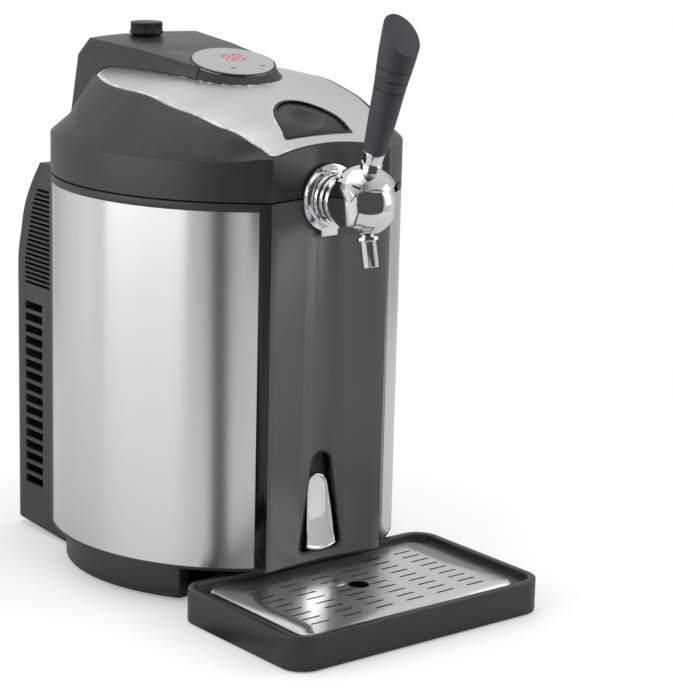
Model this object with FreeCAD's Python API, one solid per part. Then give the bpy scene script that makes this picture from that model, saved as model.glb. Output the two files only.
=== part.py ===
"""Cooled table-top beer dispenser for a 5 litre keg, with a hinged lid, a lever tap and a drip tray.

All sizes are in millimetres and +Z is up. The solids are built with y = 0 at the corners of the front
panel and y growing towards the back. They are moved along y when they are saved, so that the origin is
in the middle of the footprint, on the table.
"""
import FreeCAD, Part
import math
import os

V = FreeCAD.Vector
X_AXIS = V(1, 0, 0)
Y_AXIS = V(0, 1, 0)
Z_AXIS = V(0, 0, 1)
FAR = 900.0                   # longer than the whole dispenser, for cutting tools

# ---------------------------------------------------------------- driving dimensions
# Body outline in plan
body_r = 142.0                # rear half of the body, about the keg axis
side_extra_r = 17.0           # the side arcs that run forward to the front corners are flatter by this
front_half = 58.0             # half width of the front panel
front_hollow = 5.5            # the front panel curves in this much at its middle
corner_proud = 1.8            # its corners stand this much before the side arcs
corner_x = 65.2               # half width where the corner posts meet the steel panels

# Heights
foot_h = 3.0                  # rubber feet below the base
base_top_z = 32.5             # top of the plinth walls
base_lip_h = 2.5              # full-width rim of the base, under the steel panels
front_low_z = 31.0            # bottom of the front panel
collar_z = 322.3              # top of the steel panels
seam_z = 328.3                # joint between body and lid
lid_gap = 1.5                 # open joint between body and lid
lid_crease_z = 360.0          # top of the upright band of the lid

# Walls
skin_t = 1.0                  # steel side panels
shell_t = 2.8                 # moulded body wall
fit = 0.2                     # clearance between fixed pieces
axle_fit = 0.05               # clearance of an axle in its hole, on the radius
move_gap = 0.4                # clearance between pieces that move past each other
plastic_t = 3.0               # moulded walls of base, lid and rear housing

# Rear housing
rear_reach = 32.0             # deepest point of the rear housing behind the body
rear_crown = 5.0              # its back wall bulges this much
housing_half = 100.0          # half width of the rear housing
housing_wing = 84.0           # its side walls start this far behind the keg axis, below the body
housing_top_z = 326.0         # top of its sloping back
housing_round = 14.0          # rounded upright edges
housing_lean = [(1.0, 185.0), (-6.0, 215.0), (-14.0, 245.0), (-19.0, 263.0), (-23.5, 281.5), (-32.0, 300.0),
                (-50.0, housing_top_z)]   # its back leans forward higher up: offset and height
housing_heel = 5.5            # its lower edge rises this much towards the rear
steel_wrap = 58.0             # the steel side panels end this far behind the keg axis

# Cooled chamber for the keg
keg_r = 86.0                  # 5 litre party keg
keg_clear = 4.0               # room round the keg
keg_h = 250.0
liner_t = 2.0
chamber_floor_z = 50.0
deck_z = 325.0                # top of the deck between chamber and body wall
deck_t = 3.0
opener_z = 40.0               # bottom of the bottle opener

# Lid
lid_front_rise = [(-10.0, 364.5), (0.0, 367.6), (10.0, 372.0), (28.0, 384.5), (45.0, 391.5), (65.0, 398.5),
                  (95.0, 405.0)]                                  # from the corners of the front panel
lid_back_rise = [(-22.0, 410.0), (8.0, 412.0), (58.0, 412.5), (98.0, 411.5),
                 (158.0, 409.0)]                                  # from the keg axis
lid_crown_r = 417.0           # the lid's top is a cylinder of this radius, laid along the rise above

# Flanks of the lid: depth, rise of the crease there, and rise per millimetre towards the middle
flank_front = [(-4.0, 5.0, 0.08), (0.0, 4.3, 0.13), (4.0, 3.5, 0.24), (9.0, 2.4, 0.38), (14.0, 1.4, 0.5),
               (20.0, 0.4, 0.66), (27.0, 0.0, 0.76), (45.0, 0.0, 0.78), (70.0, 0.0, 0.79)]
flank_slope = 0.875           # beside the keg axis and round the back
flank_back = [(-40.0, 0.0, 0.8), (0.0, 0.0, flank_slope), (48.0, 0.0, 0.96), (95.0, 0.0, 1.04)]
flank_over = 8.0              # the sections reach this far outwards, past the wall
flank_mid = 8.0               # and inwards to this half width
flank_step = 8.0              # distance between two of them
tip_r = 105.5                 # behind the keg axis they end in a steeper slope round it
tip_z = 408.0
tip_slope = 1.6
plate_t = 0.8                 # steel top plate
plate_border = 1.6            # edge of the shell left round the plate
plate_gap = 0.9               # open joint between the two
plate_end = 84.6              # rear end of the plate's two arms, from the keg axis
plate_tip_x = 59.6            # these ends are round about here
plate_tip_r = 5.0
plate_tip_turn = 57.0         # degrees, where the round meets the arm's outer edge

# Console on the lid, from the keg axis backwards: depth, half width of its flat top, and the top's height
console_line = [(-16.0, 38.2, 417.9), (18.0, 42.6, 421.6), (58.0, 47.6, 425.2), (120.0, 54.6, 428.3),
                (158.0, 58.8, 429.0)]
console_bevel = 5.0           # the bevel below the top runs out this much
console_bevel_h = 13.6        # and down this much
# Its back is round about the keg axis: radius and height of its upper edge, chamfer and back wall
console_back = [(129.6, 429.0), (140.4, 413.8), (150.0, 362.0)]
console_foot_z = 396.0        # lower edge of the console inside the lid
console_step = 94.0           # the back of the console goes down into the lid from here
console_wall = 2.4

# Display at the front end of the console
disc_back = -10.5             # from the keg axis
disc_z = 420.3
disc_half_x = 36.0
disc_half_y = 28.3
disc_t = 1.4
disc_tilt = 15.0              # degrees, leaning forward
window_half = 18.0            # its display window
window_front = -0.5           # front edge of the window, from the disc's centre
window_depth = 14.5
window_board = 2.0            # the display module is this much larger on each side
skirt_half_x = 46.0
skirt_half_y = 38.0
skirt_back = -14.0
skirt_z = 398.0

# Pressure knob at the rear of the console
knob_back = 114.0             # from the keg axis
knob_r = 13.5
knob_h = 10.8
knob_ring = (1.8, 1.4, 0.9)   # ring below the flutes: height, thickness, and how far it stands out
knob_flutes = 36
knob_flute_r = 0.75
knob_gap = 0.6
knob_shaft_r = 3.0

# Lid latch
latch_y = 16.0                # front edge of the latch in the top plate
latch_z = 375.6
latch_half = 32.0
latch_len = 48.5
latch_slope = 25.5            # degrees
latch_depth = 10.0
latch_wall = 2.2
latch_over = 30.0             # its forms are drawn this high above the slope, then cut to the lid's top

# Lid hinge
hinge_back = 2.0              # hinge axis behind the rear of the body
hinge_z = 333.0
hinge_pin_r = 2.0
knuckle_r = 5.0
knuckle_x = 45.0              # middle of each lid knuckle
knuckle_w = 20.0
ear_w = 5.5
hinge_gap = 0.5

# Tap
flange_r = 26.6
flange_t = 3.0
flange_y = 3.9                # back of the flange
shank_r = 9.0
shank_end_y = 58.0
ball_y = -38.5
ball_rise = 2.6               # ball centre above the shank axis
ball_r = 26.5
ball_flat = 20.3              # half width between the flat cheeks of the ball
pin_r = 2.5
spout_len = 24.0
spout_r = 6.6
spout_bore = 4.6
spout_tilt = 13.0             # degrees forward
lever_tilt = 17.0             # degrees forward, pouring
hood_t = 2.2
ferrule_top = 43.0            # along the lever from the ball's centre
grip_top = 149.0
grip_cut_drop = 22.0          # the oblique top falls this much to the front
grip_r_low = 9.2
grip_r_high = 15.6
grip_line = [(0.0, grip_r_low), (0.2, 10.6), (0.36, 11.6), (0.5, 12.4), (0.66, 14.0), (0.86, 15.3),
             (1.0, grip_r_high)]                                  # share of its length, and radius

# Drip tray
tray_half = 125.6
tray_reach = 129.0            # front of the tray before the front panel
tray_back_y = 25.0
tray_bottom_z = 1.0
tray_rim_z = 28.0
tray_round = 20.0
tray_wall = 2.6
tray_rim_w = 6.0
tray_ledge = 5.0              # width of the ledge that the grille lies on
grille_half = 107.0
grille_front_y = -114.5
grille_back_y = 12.7
grille_z = 23.9               # top of the grille
grille_t = 1.2
grille_round = 10.0
slot_len = 17.5
slot_w = 2.2
slot_cols = 6
slot_rows = 9
slot_pitch_x = 31.5
slot_pitch_y = 11.4
drain_r = 8.5
drain_y = -46.0
tongue_half = 60.0
tongue_y = 74.0
tongue_z = 18.0

# Base
plinth_inset = 12.0           # the plinth stands back this far under the body
plinth_step = 31.0            # its front wall is this far behind the tray
plinth_gate = 94.0            # half width of the opening in its front wall
shelf_z = (5.7, 6.5)          # thin shelf that carries the tray's tongue
base_cover_t = 2.5
foot_r = 9.0
boss_r = 4.5
cover_screw_r = 1.5
cover_screw_x = 66.0          # screws of the bottom cover, from the keg axis
cover_screw_y = (-52.0, 78.0)
foot_x = 82.0                 # rubber feet, from the keg axis
foot_y = (-50.0, 60.0)

# Rear opening of the moulded wall, behind the cooling unit
rear_gate_half = 95.0
rear_gate_z = 300.0

# Bottle opener and its bell-shaped window
opener_top_z = 122.5
opener_low_z = 37.5
opener_half_low = 22.0
opener_half_high = 11.0
opener_window_round = 6.0     # lower corners
opener_depth = 9.0
opener_lip = 1.5              # wall of the cup
opener_hood_top = 101.5
opener_hood_half = 14.6
opener_hood_round = 10.6
opener_hood_thin = 4.0        # thickness at the top
opener_hood_y = 2.6           # front of its lower edge
opener_hood_sag = 3.0         # lower edge hangs this much in the middle
opener_rim = 1.8
opener_sink = 1.6

# Fan details
fan_axle_r = 2.0
fan_screw = 41.2              # screws, from the fan axis
fan_screw_r = 2.2
screw_head = (3.3, 1.8)       # radius and height of the heads of all screws
fan_gap = 1.2

# Vents of the rear housing: first height, count, pitch and slot height
vent_low = (42.0, 16, 10.3, 7.0)
vent_high = (219.0, 21, 4.1, 2.3)
vent_low_back = -20.0         # front end of the low vents, from the rear of the body
vent_high_back = -32.0        # front end of the high vents
vent_end = 20.0               # rear end of all vents, before the back wall
vent_edge = 12.0              # wall left above them, under the leaning back

# Inlet and switch on the rear wall
inlet_x = 52.0
inlet_z = 30.0
inlet_half = 14.0
inlet_high = 10.5
switch_x = -52.0
switch_half = 10.5
switch_high = 7.5
switch_wall = 1.5
socket_proud = 0.8            # both stand out this much
rocker_tilt = 4.7             # degrees, shown pressed on one side
rocker_depth = 5.6            # axle behind the face of the switch
rocker_rise = 5.0
rocker_slack = 0.5
rocker_axle_r = 1.3

power_board_half = 36.0       # power supply board inside the rear wall
power_board_z = (52.0, 104.0)

# Cooling unit behind the chamber
cold_half = 32.0
cold_z = (120.0, 190.0)
cell_half = 20.0
cell_t = 4.0
sink_half = 50.0
sink_inset = 31.0             # base of the heat sink, before the rear of the body
sink_base = 6.0
sink_depth = 25.0
sink_fins = 17
sink_room = 4.0               # air round the sink in the foam
foam_step = 12.0              # below the sink the foam ends this far before the body wall
fin_t = 1.4
fan_half = 46.0
fan_t = 18.0
fan_bore = 43.0
fan_hub = 17.0
fan_blades = 7

# Lid details
crown_sweep = 28.0            # degrees of the crown's cylinder to each side
collar_boss_r = 15.5          # boss of the tap's flange, in the seam
lid_dome_z = 372.0            # top of the inner dome

# Latch details
latch_room = 3.6              # depth left below the paddle
latch_dish_r = 34.0           # hollow of the paddle
latch_dish = 2.0              # its depth
latch_axle_y = 43.0           # axle from the front edge, along the slope
latch_axle_z = -2.3
latch_axle_r = 1.6
latch_axle_half = 11.9
hook_x = 30.0
hook_w = 9.0
hook_y = 14.0
hook_t = 3.0
hook_bridge_z = 352.0         # axis of the hook's pivot
hook_pin_r = 1.2
prong_clear = 0.6
hook_swing = 2.4              # travel of the prongs

# Pressure regulator
regulator_gap = 0.6           # below the console's top
regulator_rim_r = 10.0
regulator_r = 15.0
regulator_h = 30.0

# Tap details
tab_half = 8.0
tab_low = 30.5
nut_half = 15.0
nut_corner = 17.6
nut_t = 5.0
cavity_r = 12.0               # room for the lever's eye in the ball
cavity_half = 9.0
valve_bore = 5.6
lever_back = -20.0            # degrees of the stem's slot
lever_forward = 18.0
eye_r = 6.5
stem_r = 3.6
hood_edge = 20.0              # lower edge of the hood above the ball's centre
hood_tip_y = 8.0
hood_tip_z = 6.0
grip_groove_z = 95.0
grip_groove_pitch = 8.6
grip_groove_w = 1.3
grip_groove_r = 11.5
grip_groove_grow = 0.75       # each groove is this much wider than the one below

# ---------------------------------------------------------------- places that follow from them
side_r = body_r + side_extra_r
keg_axis_y = math.sqrt(side_r ** 2 - (front_half + side_extra_r) ** 2) + corner_proud
rear_y = keg_axis_y + body_r
rear_depth = rear_y + rear_reach
housing_front_y = keg_axis_y + housing_wing
housing_start = keg_axis_y - 22.0     # the housing's forms are drawn from here, well inside the body
steel_end_y = keg_axis_y + steel_wrap
tap_z = seam_z
ball_z = tap_z + ball_rise
lid_z = seam_z + lid_gap
liner_r = keg_r + keg_clear
liner_out = liner_r + liner_t
wall_out = skin_t + fit
wall_in = wall_out + shell_t
lip_z = base_top_z + base_lip_h
hinge_y = rear_y + hinge_back
back_y = rear_depth - rear_crown
sink_z = (cold_z[0] + cold_z[1]) / 2
sink_y = rear_y - sink_inset
fan_y = sink_y + sink_depth
vent_low_y = rear_y + vent_low_back
vent_high_y = rear_y + vent_high_back
plinth_front_y = tray_back_y + plinth_step
base_cover_z = foot_h + base_cover_t
lid_rise = lid_front_rise + [(keg_axis_y + y, z) for y, z in lid_back_rise]
lid_flanks = flank_front + [(keg_axis_y + y, up, slope) for y, up, slope in flank_back]
flank_skew = math.sqrt(1 + flank_slope ** 2) / flank_slope      # sideways part of an inset
plate_end_y = keg_axis_y + plate_end
console_stations = [(keg_axis_y + y, half, z) for y, half, z in console_line]
disc_y = keg_axis_y + disc_back
skirt_y = keg_axis_y + skirt_back
knob_y = keg_axis_y + knob_back
nut_y = front_hollow + plastic_t
centre_shift = (tray_reach - rear_depth) / 2


# ---------------------------------------------------------------- plain solids
def box(x0, x1, y0, y1, z0, z1):
    """Box between two corners."""
    return Part.makeBox(x1 - x0, y1 - y0, z1 - z0, V(x0, y0, z0))


def post(x, y, z0, z1, r):
    """Upright cylinder."""
    return Part.makeCylinder(r, z1 - z0, V(x, y, z0))


def rod_y(x, z, y0, y1, r):
    """Cylinder along y."""
    return Part.makeCylinder(r, y1 - y0, V(x, y0, z), Y_AXIS)


def rod_x(y, z, x0, x1, r):
    """Cylinder along x."""
    return Part.makeCylinder(r, x1 - x0, V(x0, y, z), X_AXIS)


def polygon(points):
    """Closed face through points."""
    corners = [V(*p) for p in points]
    return Part.Face(Part.makePolygon(corners + corners[:1]))


def lift(face, z0, z1):
    """Upright prism of a face drawn at z = 0."""
    solid = face.extrude(V(0, 0, z1 - z0))
    solid.translate(V(0, 0, z0))
    return solid


def mirror_x(shape):
    """The shape on the other side of the middle plane."""
    return shape.mirror(V(0, 0, 0), X_AXIS)


def both(shape):
    """The shape and its mirror image, as one group."""
    return Part.makeCompound([shape, mirror_x(shape)])


def joined(shapes):
    """One solid from shapes that touch."""
    solid = shapes[0].fuse(shapes[1:]) if len(shapes) > 1 else shapes[0]
    return solid.removeSplitter()


def turned(shape, angle, pivot, axis=X_AXIS):
    """The shape turned by angle degrees about an axis through pivot."""
    copy = shape.copy()
    copy.rotate(pivot, axis, angle)
    return copy


def save(name, shape):
    """Write one sub-part, moved into the part's own frame."""
    solids = shape.Solids
    placed = solids[0].copy() if len(solids) == 1 else Part.makeCompound(solids)
    placed.translate(V(0, centre_shift, 0))
    placed.exportStep("parts/" + name + ".step")
    print(f"{name:24s} {len(solids)} solids  {placed.Volume / 1000:9.2f} cm3  valid {placed.isValid()}")


# ---------------------------------------------------------------- body outline
def circles_meet(c1, r1, c2, r2):
    """The crossing of two circles that lies further towards +x."""
    dx = c2[0] - c1[0]
    dy = c2[1] - c1[1]
    d = math.hypot(dx, dy)
    along = (d * d + r1 * r1 - r2 * r2) / (2 * d)
    off = math.sqrt(r1 * r1 - along * along)
    mid = (c1[0] + along * dx / d, c1[1] + along * dy / d)
    return max((mid[0] + s * off * dy / d, mid[1] - s * off * dx / d) for s in (1, -1))


def side_arc_y(x, r):
    """Depth of the side arc of radius r at half width x."""
    return keg_axis_y - math.sqrt(r * r - (x + side_r - body_r) ** 2)


def outline(inset=0.0):
    """Plan of the body, moved inwards by inset, as a face at z = 0."""
    hollow_r = (front_half ** 2 + front_hollow ** 2) / (2 * front_hollow)
    front_c = (0.0, front_hollow - hollow_r)
    side_c = (body_r - side_r, keg_axis_y)
    r_side = side_r - inset
    r_rear = body_r - inset
    corner = (front_half, 0.0)
    strip = (corner_x, side_arc_y(corner_x, side_r))
    if inset > 0:
        corner = strip = circles_meet(front_c, hollow_r + inset, side_c, r_side)
    mid_angle = math.atan2(strip[1] - keg_axis_y, strip[0] - side_c[0]) / 2
    flank = V(side_c[0] + r_side * math.cos(mid_angle), keg_axis_y + r_side * math.sin(mid_angle), 0)
    widest = V(r_rear, keg_axis_y, 0)
    edges = [Part.Arc(V(*corner, 0), V(0, front_hollow + inset, 0), V(-corner[0], corner[1], 0)).toShape()]
    if inset == 0:
        edges.append(Part.makeLine(V(-corner[0], corner[1], 0), V(-strip[0], strip[1], 0)))
    far_flank = V(-flank.x, flank.y, 0)
    edges.append(Part.Arc(V(-strip[0], strip[1], 0), far_flank, V(-widest.x, widest.y, 0)).toShape())
    edges.append(Part.Arc(V(-r_rear, keg_axis_y, 0), V(0, keg_axis_y + r_rear, 0), widest).toShape())
    edges.append(Part.Arc(widest, flank, V(*strip, 0)).toShape())
    if inset == 0:
        edges.append(Part.makeLine(V(*strip, 0), V(*corner, 0)))
    return Part.Face(Part.Wire(Part.__sortEdges__(edges)))


def ring(outer, inner, z0, z1):
    """Upright wall between two insets of the body's outline."""
    return lift(outline(outer), z0, z1).cut(lift(outline(inner), z0 - 1, z1 + 1))


# ---------------------------------------------------------------- base
def base_floor():
    """Moulded floor of the body: a plate with a full-width rim below the steel panels, and screw bosses."""
    rim = lift(outline(), base_top_z, lip_z).cut(box(-front_half - fit, front_half + fit, -FAR, FAR, 0, FAR))
    bosses = [post(x, y, base_cover_z, base_top_z, boss_r) for x, y in base_screw_places()]
    floor = joined([rim, lift(outline(plastic_t + fit), base_top_z, lip_z)] + bosses)
    for x, y in base_screw_places():
        floor = floor.cut(post(x, y, base_cover_z - 1, base_top_z - 4, cover_screw_r))
    return floor


def base_plinth():
    """Moulded plinth under the floor: a recessed wall, open in front, and a shelf for the tray's tongue."""
    inset = plinth_inset
    wall = lift(outline(inset), foot_h, base_top_z)
    wall = wall.common(box(-FAR, FAR, plinth_front_y, FAR, 0, FAR))
    hollow = lift(outline(inset + plastic_t), 0, base_top_z + 1)
    hollow = hollow.common(box(-FAR, FAR, plinth_front_y + plastic_t, FAR, 0, FAR))
    gate = box(-plinth_gate, plinth_gate, -FAR, plinth_front_y + plastic_t + 1, 0, FAR)
    reach = plinth_gate + 2 * plastic_t
    shelf = box(-reach, reach, plinth_front_y, tongue_y + 4, *shelf_z)
    shelf = shelf.common(lift(outline(inset + 1), 0, FAR))
    return joined([wall.cut(hollow).cut(gate), shelf])


def base_screw_places():
    """Four screws that hold the bottom cover."""
    return [(s * cover_screw_x, keg_axis_y + t) for s in (-1, 1) for t in cover_screw_y]


def foot_places():
    """Four rubber feet, just outside the screws."""
    return [(s * foot_x, keg_axis_y + t) for s in (-1, 1) for t in foot_y]


def base_cover():
    """Flat plate that closes the bottom of the plinth."""
    plate = lift(outline(plinth_inset + plastic_t + fit), foot_h, base_cover_z)
    plate = plate.common(box(-FAR, FAR, tongue_y + 6, FAR, 0, FAR))
    for x, y in base_screw_places():
        plate = plate.cut(post(x, y, 0, FAR, 1.7))
    return plate


def base_screws():
    """Pan-head screws through the bottom cover."""
    screws = []
    for x, y in base_screw_places():
        head = post(x, y, foot_h - screw_head[1], foot_h, screw_head[0])
        screws.append(joined([head, post(x, y, foot_h - 1, base_top_z - 12, cover_screw_r)]))
    return Part.makeCompound(screws)


def rubber_feet():
    """Round rubber feet under the bottom cover."""
    feet = []
    for x, y in foot_places():
        feet.append(Part.makeCone(foot_r - 1, foot_r, foot_h, V(x, y, 0)))
    return Part.makeCompound(feet)


# ---------------------------------------------------------------- body
def side_panel():
    """Right-hand panel of brushed steel sheet."""
    sheet = ring(0, skin_t, lip_z + fit, collar_z - fit)
    return sheet.common(box(corner_x + fit, FAR, -FAR, steel_end_y, 0, FAR))


def body_shell():
    """Moulded wall behind the steel, with the front corner posts and the collar below the lid."""
    wall = ring(wall_out, wall_in, lip_z, collar_z)
    wall = wall.cut(box(-front_half - fit, front_half + fit, -FAR, 40, 0, FAR))
    rear_gate = box(-rear_gate_half, rear_gate_half, keg_axis_y, FAR, 0, rear_gate_z)
    wall = wall.cut(rear_gate)
    posts = ring(0, wall_in, lip_z, collar_z).common(both(box(front_half + fit, corner_x, -FAR, 20, 0, FAR)))
    collar = ring(0, wall_in, collar_z, seam_z)
    collar = collar.cut(box(-front_half - fit, front_half + fit, -FAR, 40, 0, FAR))
    return joined([wall, collar] + posts.Solids + hinge_ears())


def ear_spans():
    """Where the fixed ears stand along x, beside each lid knuckle."""
    inner = knuckle_x - knuckle_w / 2 - hinge_gap
    outer = knuckle_x + knuckle_w / 2 + hinge_gap
    return [(inner - ear_w, inner), (outer, outer + ear_w)]


def hinge_ears():
    """Four ears that stand up behind the collar and hold the hinge pins."""
    ears = []
    for x0, x1 in ear_spans():
        stem = box(x0, x1, keg_axis_y + 60, hinge_y + knuckle_r, collar_z, hinge_z)
        stem = stem.cut(post(0, keg_axis_y, 0, seam_z, body_r - shell_t / 2))
        above = post(0, keg_axis_y, seam_z, FAR, body_r + move_gap)
        ear = stem.cut(above).fuse(rod_x(hinge_y, hinge_z, x0, x1, knuckle_r).cut(above))
        ear = ear.cut(rod_x(hinge_y, hinge_z, x0 - 1, x1 + 1, hinge_pin_r))
        ears += [ear, mirror_x(ear)]
    return ears


def hinge_pins():
    """One steel pin on each side, through two ears and the knuckle between them."""
    x0 = ear_spans()[0][0]
    x1 = ear_spans()[1][1]
    return both(rod_x(hinge_y, hinge_z, x0, x1, hinge_pin_r))


def shank_gate(z_low, extra, y0=-FAR, y1=None):
    """Space of the tap's shank, open upwards from z_low, for pieces that it is dropped into."""
    r = shank_r + extra
    end = shank_end_y + extra if y1 is None else y1
    slot = box(-r, r, y0, end, max(z_low, tap_z), FAR)
    return joined([slot, rod_y(0, tap_z, y0, end, r)])


def front_panel():
    """Glossy moulded front, hollow across its width, with the tap's notch and the opener's window."""
    panel = ring(0, plastic_t, front_low_z, seam_z)
    panel = panel.common(box(-front_half, front_half, -FAR, 40, 0, FAR))
    window = opener_arch(0).extrude(V(0, 60, 0))
    window.translate(V(0, -30, 0))
    return panel.cut(window).cut(shank_gate(tap_z, fit))


def opener_arch(inset):
    """Bell-shaped window outline in the front plane: narrow round top, wide bottom."""
    top_r = opener_half_high - inset
    z_top = opener_top_z - inset
    low = opener_low_z + inset
    half = opener_half_low - inset
    spring = z_top - top_r
    r = opener_window_round
    k = r * (1 - math.sqrt(0.5))
    edges = [Part.makeLine(V(-top_r, 0, spring), V(-half, 0, low + r)),
             Part.Arc(V(-half, 0, low + r), V(-half + k, 0, low + k), V(-half + r, 0, low)).toShape(),
             Part.makeLine(V(-half + r, 0, low), V(half - r, 0, low)),
             Part.Arc(V(half - r, 0, low), V(half - k, 0, low + k), V(half, 0, low + r)).toShape(),
             Part.makeLine(V(half, 0, low + r), V(top_r, 0, spring)),
             Part.Arc(V(top_r, 0, spring), V(0, 0, z_top), V(-top_r, 0, spring)).toShape()]
    return Part.Face(Part.Wire(edges))


def opener_liner():
    """Black cup that lines the window and backs the bottle opener."""
    front = -30.0
    cup = opener_arch(fit).extrude(V(0, opener_depth + front_hollow + opener_lip - front, 0))
    cup.translate(V(0, front, 0))
    cup = cup.common(lift(outline(0.3), 0, FAR))
    hollow = opener_arch(fit + opener_lip).extrude(V(0, opener_depth + front_hollow - front, 0))
    hollow.translate(V(0, front, 0))
    return cup.cut(hollow)


def bottle_opener():
    """Chromed hood for crown caps: an arched plate with a raised rim that stands further out below."""
    floor_y = opener_depth + front_hollow
    blank = opener_hood_face(0).extrude(V(0, floor_y + 10, 0))
    blank.translate(V(0, -10, 0))
    lean = polygon([(0, floor_y, opener_low_z), (0, floor_y, opener_hood_top),
                    (0, floor_y - opener_hood_thin, opener_hood_top), (0, opener_hood_y, opener_z)])
    lean = lean.extrude(V(FAR, 0, 0))
    lean.translate(V(-FAR / 2, 0, 0))
    hood = blank.common(lean)
    dish = opener_hood_face(opener_rim).extrude(V(0, FAR, 0))
    dish.translate(V(0, -FAR / 2, 0))
    sunk = lean.copy()
    sunk.translate(V(0, opener_sink, 0))
    return hood.cut(dish.common(lean.cut(sunk)))


def opener_hood_face(inset):
    """Arched outline of the opener in the front plane."""
    low = opener_z + inset
    r = opener_hood_round - inset
    half = opener_hood_half - inset
    spring = opener_hood_top - opener_hood_round
    sag = opener_hood_sag
    edges = [Part.makeLine(V(-r, 0, spring), V(-half, 0, low + sag)),
             Part.Arc(V(-half, 0, low + sag), V(0, 0, low), V(half, 0, low + sag)).toShape(),
             Part.makeLine(V(half, 0, low + sag), V(r, 0, spring)),
             Part.Arc(V(r, 0, spring), V(0, 0, spring + r), V(-r, 0, spring)).toShape()]
    return Part.Face(Part.Wire(edges))


# ---------------------------------------------------------------- chamber
def chamber_liner():
    """Cooled tub that the keg stands in."""
    tub = post(0, keg_axis_y, chamber_floor_z - liner_t, deck_z - deck_t, liner_out)
    tub = tub.cut(post(0, keg_axis_y, chamber_floor_z, FAR, liner_r))
    return tub.cut(shank_gate(tap_z, fit, 0))


def hook_way(extra):
    """Space that the latch hook's prongs sweep, grown by extra."""
    swings = [prong_box(s, extra) for s in (-1, 1)]
    return joined(swings + [swing.translated(V(0, -hook_swing, 0)) for swing in swings])


def chamber_deck():
    """Deck that closes the top of the body round the tub, with the slots for the latch hook."""
    deck = lift(outline(wall_in + fit), deck_z - deck_t, deck_z)
    deck = deck.cut(post(0, keg_axis_y, 0, FAR, liner_r))
    deck = deck.cut(shank_gate(tap_z, fit, 0))
    deck = deck.cut(hook_way(move_gap + prong_clear))
    return deck.cut(box(-nut_corner, nut_corner, 0, nut_y + nut_t + 1, deck_z - deck_t - 1, FAR))


def keg_pad():
    """Soft pad on the chamber floor, under the keg."""
    pad = post(0, keg_axis_y, chamber_floor_z, chamber_floor_z + 3, keg_r - 12)
    return pad.cut(post(0, keg_axis_y, 0, FAR, keg_r - 26))


def insulation_foam():
    """Foamed-in insulation between the tub and the body wall."""
    foam = lift(outline(wall_in + fit), lip_z + fit, deck_z - deck_t - fit)
    foam = foam.cut(post(0, keg_axis_y, chamber_floor_z - liner_t, FAR, liner_out))
    foam = foam.cut(box(-cold_half, cold_half, keg_axis_y, FAR, *cold_z))
    pocket = sink_half + sink_room
    foam = foam.cut(box(-pocket, pocket, sink_y - fit - sink_room / 2, FAR, sink_z - pocket, sink_z + pocket))
    foam = foam.cut(box(-FAR, FAR, rear_y - wall_in - foam_step, FAR, 0, sink_z))
    arch = opener_arch(-1.0).extrude(V(0, opener_depth + front_hollow + opener_lip + fit, 0))
    foam = foam.cut(arch)
    foam = foam.cut(shank_gate(tap_z, nut_corner - shank_r, 0, nut_y + nut_t + 1))
    foam = foam.cut(hook_way(move_gap + prong_clear))
    foam = foam.cut(rod_y(0, tap_z, 0, FAR, shank_r + fit).common(box(-FAR, FAR, 0, keg_axis_y, 0, FAR)))
    return foam


# ---------------------------------------------------------------- cooling unit
def cold_block():
    """Aluminium block that carries the cold from the cell to the tub."""
    block = box(-cold_half, cold_half, keg_axis_y, sink_y - cell_t, *cold_z)
    return block.cut(post(0, keg_axis_y, 0, FAR, liner_out))


def peltier_cell():
    """Thermoelectric cell."""
    return box(-cell_half, cell_half, sink_y - cell_t, sink_y, sink_z - cell_half, sink_z + cell_half)


def heat_sink():
    """Finned aluminium sink on the hot side."""
    parts = [box(-sink_half, sink_half, sink_y, sink_y + sink_base, sink_z - sink_half, sink_z + sink_half)]
    pitch = (2 * sink_half - fin_t) / (sink_fins - 1)
    for i in range(sink_fins):
        x = -sink_half + i * pitch
        parts.append(box(x, x + fin_t, sink_y + sink_base / 2, fan_y, sink_z - sink_half, sink_z + sink_half))
    return joined(parts)


def fan_frame():
    """Square frame of the axial fan, with a motor mount on three struts."""
    frame = box(-fan_half, fan_half, fan_y, fan_y + fan_t, sink_z - fan_half, sink_z + fan_half)
    frame = frame.cut(rod_y(0, sink_z, fan_y - 1, fan_y + fan_t + 1, fan_bore))
    mount = rod_y(0, sink_z, fan_y + fan_t - 3, fan_y + fan_t, fan_hub)
    parts = [frame, mount]
    for k in range(3):
        strut = box(-2, 2, fan_y + fan_t - 3, fan_y + fan_t, sink_z + fan_hub - 2, sink_z + fan_bore + 1)
        parts.append(turned(strut, 120 * k + 60, V(0, 0, sink_z), Y_AXIS))
    frame = joined(parts)
    frame = frame.fuse(rod_y(0, sink_z, fan_y + 3, fan_y + fan_t - 2, fan_axle_r))
    for x, z in fan_screw_places():
        frame = frame.cut(rod_y(x, z, fan_y - 1, fan_y + fan_t + 1, fan_screw_r))
    return frame


def fan_screw_places():
    """The four corners of the fan's frame."""
    return [(sx * fan_screw, sink_z + sz * fan_screw) for sx in (-1, 1) for sz in (-1, 1)]


def fan_rotor():
    """Hub and blades that turn on the fan's axle."""
    y0 = fan_y + 2
    y1 = fan_y + fan_t - 3 - fan_gap
    parts = [rod_y(0, sink_z, y0, y1, fan_hub - 0.5)]
    for k in range(fan_blades):
        blade = box(-1, 1, y0 + 1, y1 - 1, sink_z + fan_hub - 3, sink_z + fan_bore - fan_gap)
        blade.rotate(V(0, (y0 + y1) / 2, sink_z), Z_AXIS, 38)
        parts.append(turned(blade, 360 * k / fan_blades, V(0, 0, sink_z), Y_AXIS))
    rotor = joined(parts)
    return rotor.cut(rod_y(0, sink_z, 0, FAR, fan_axle_r + axle_fit))


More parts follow.
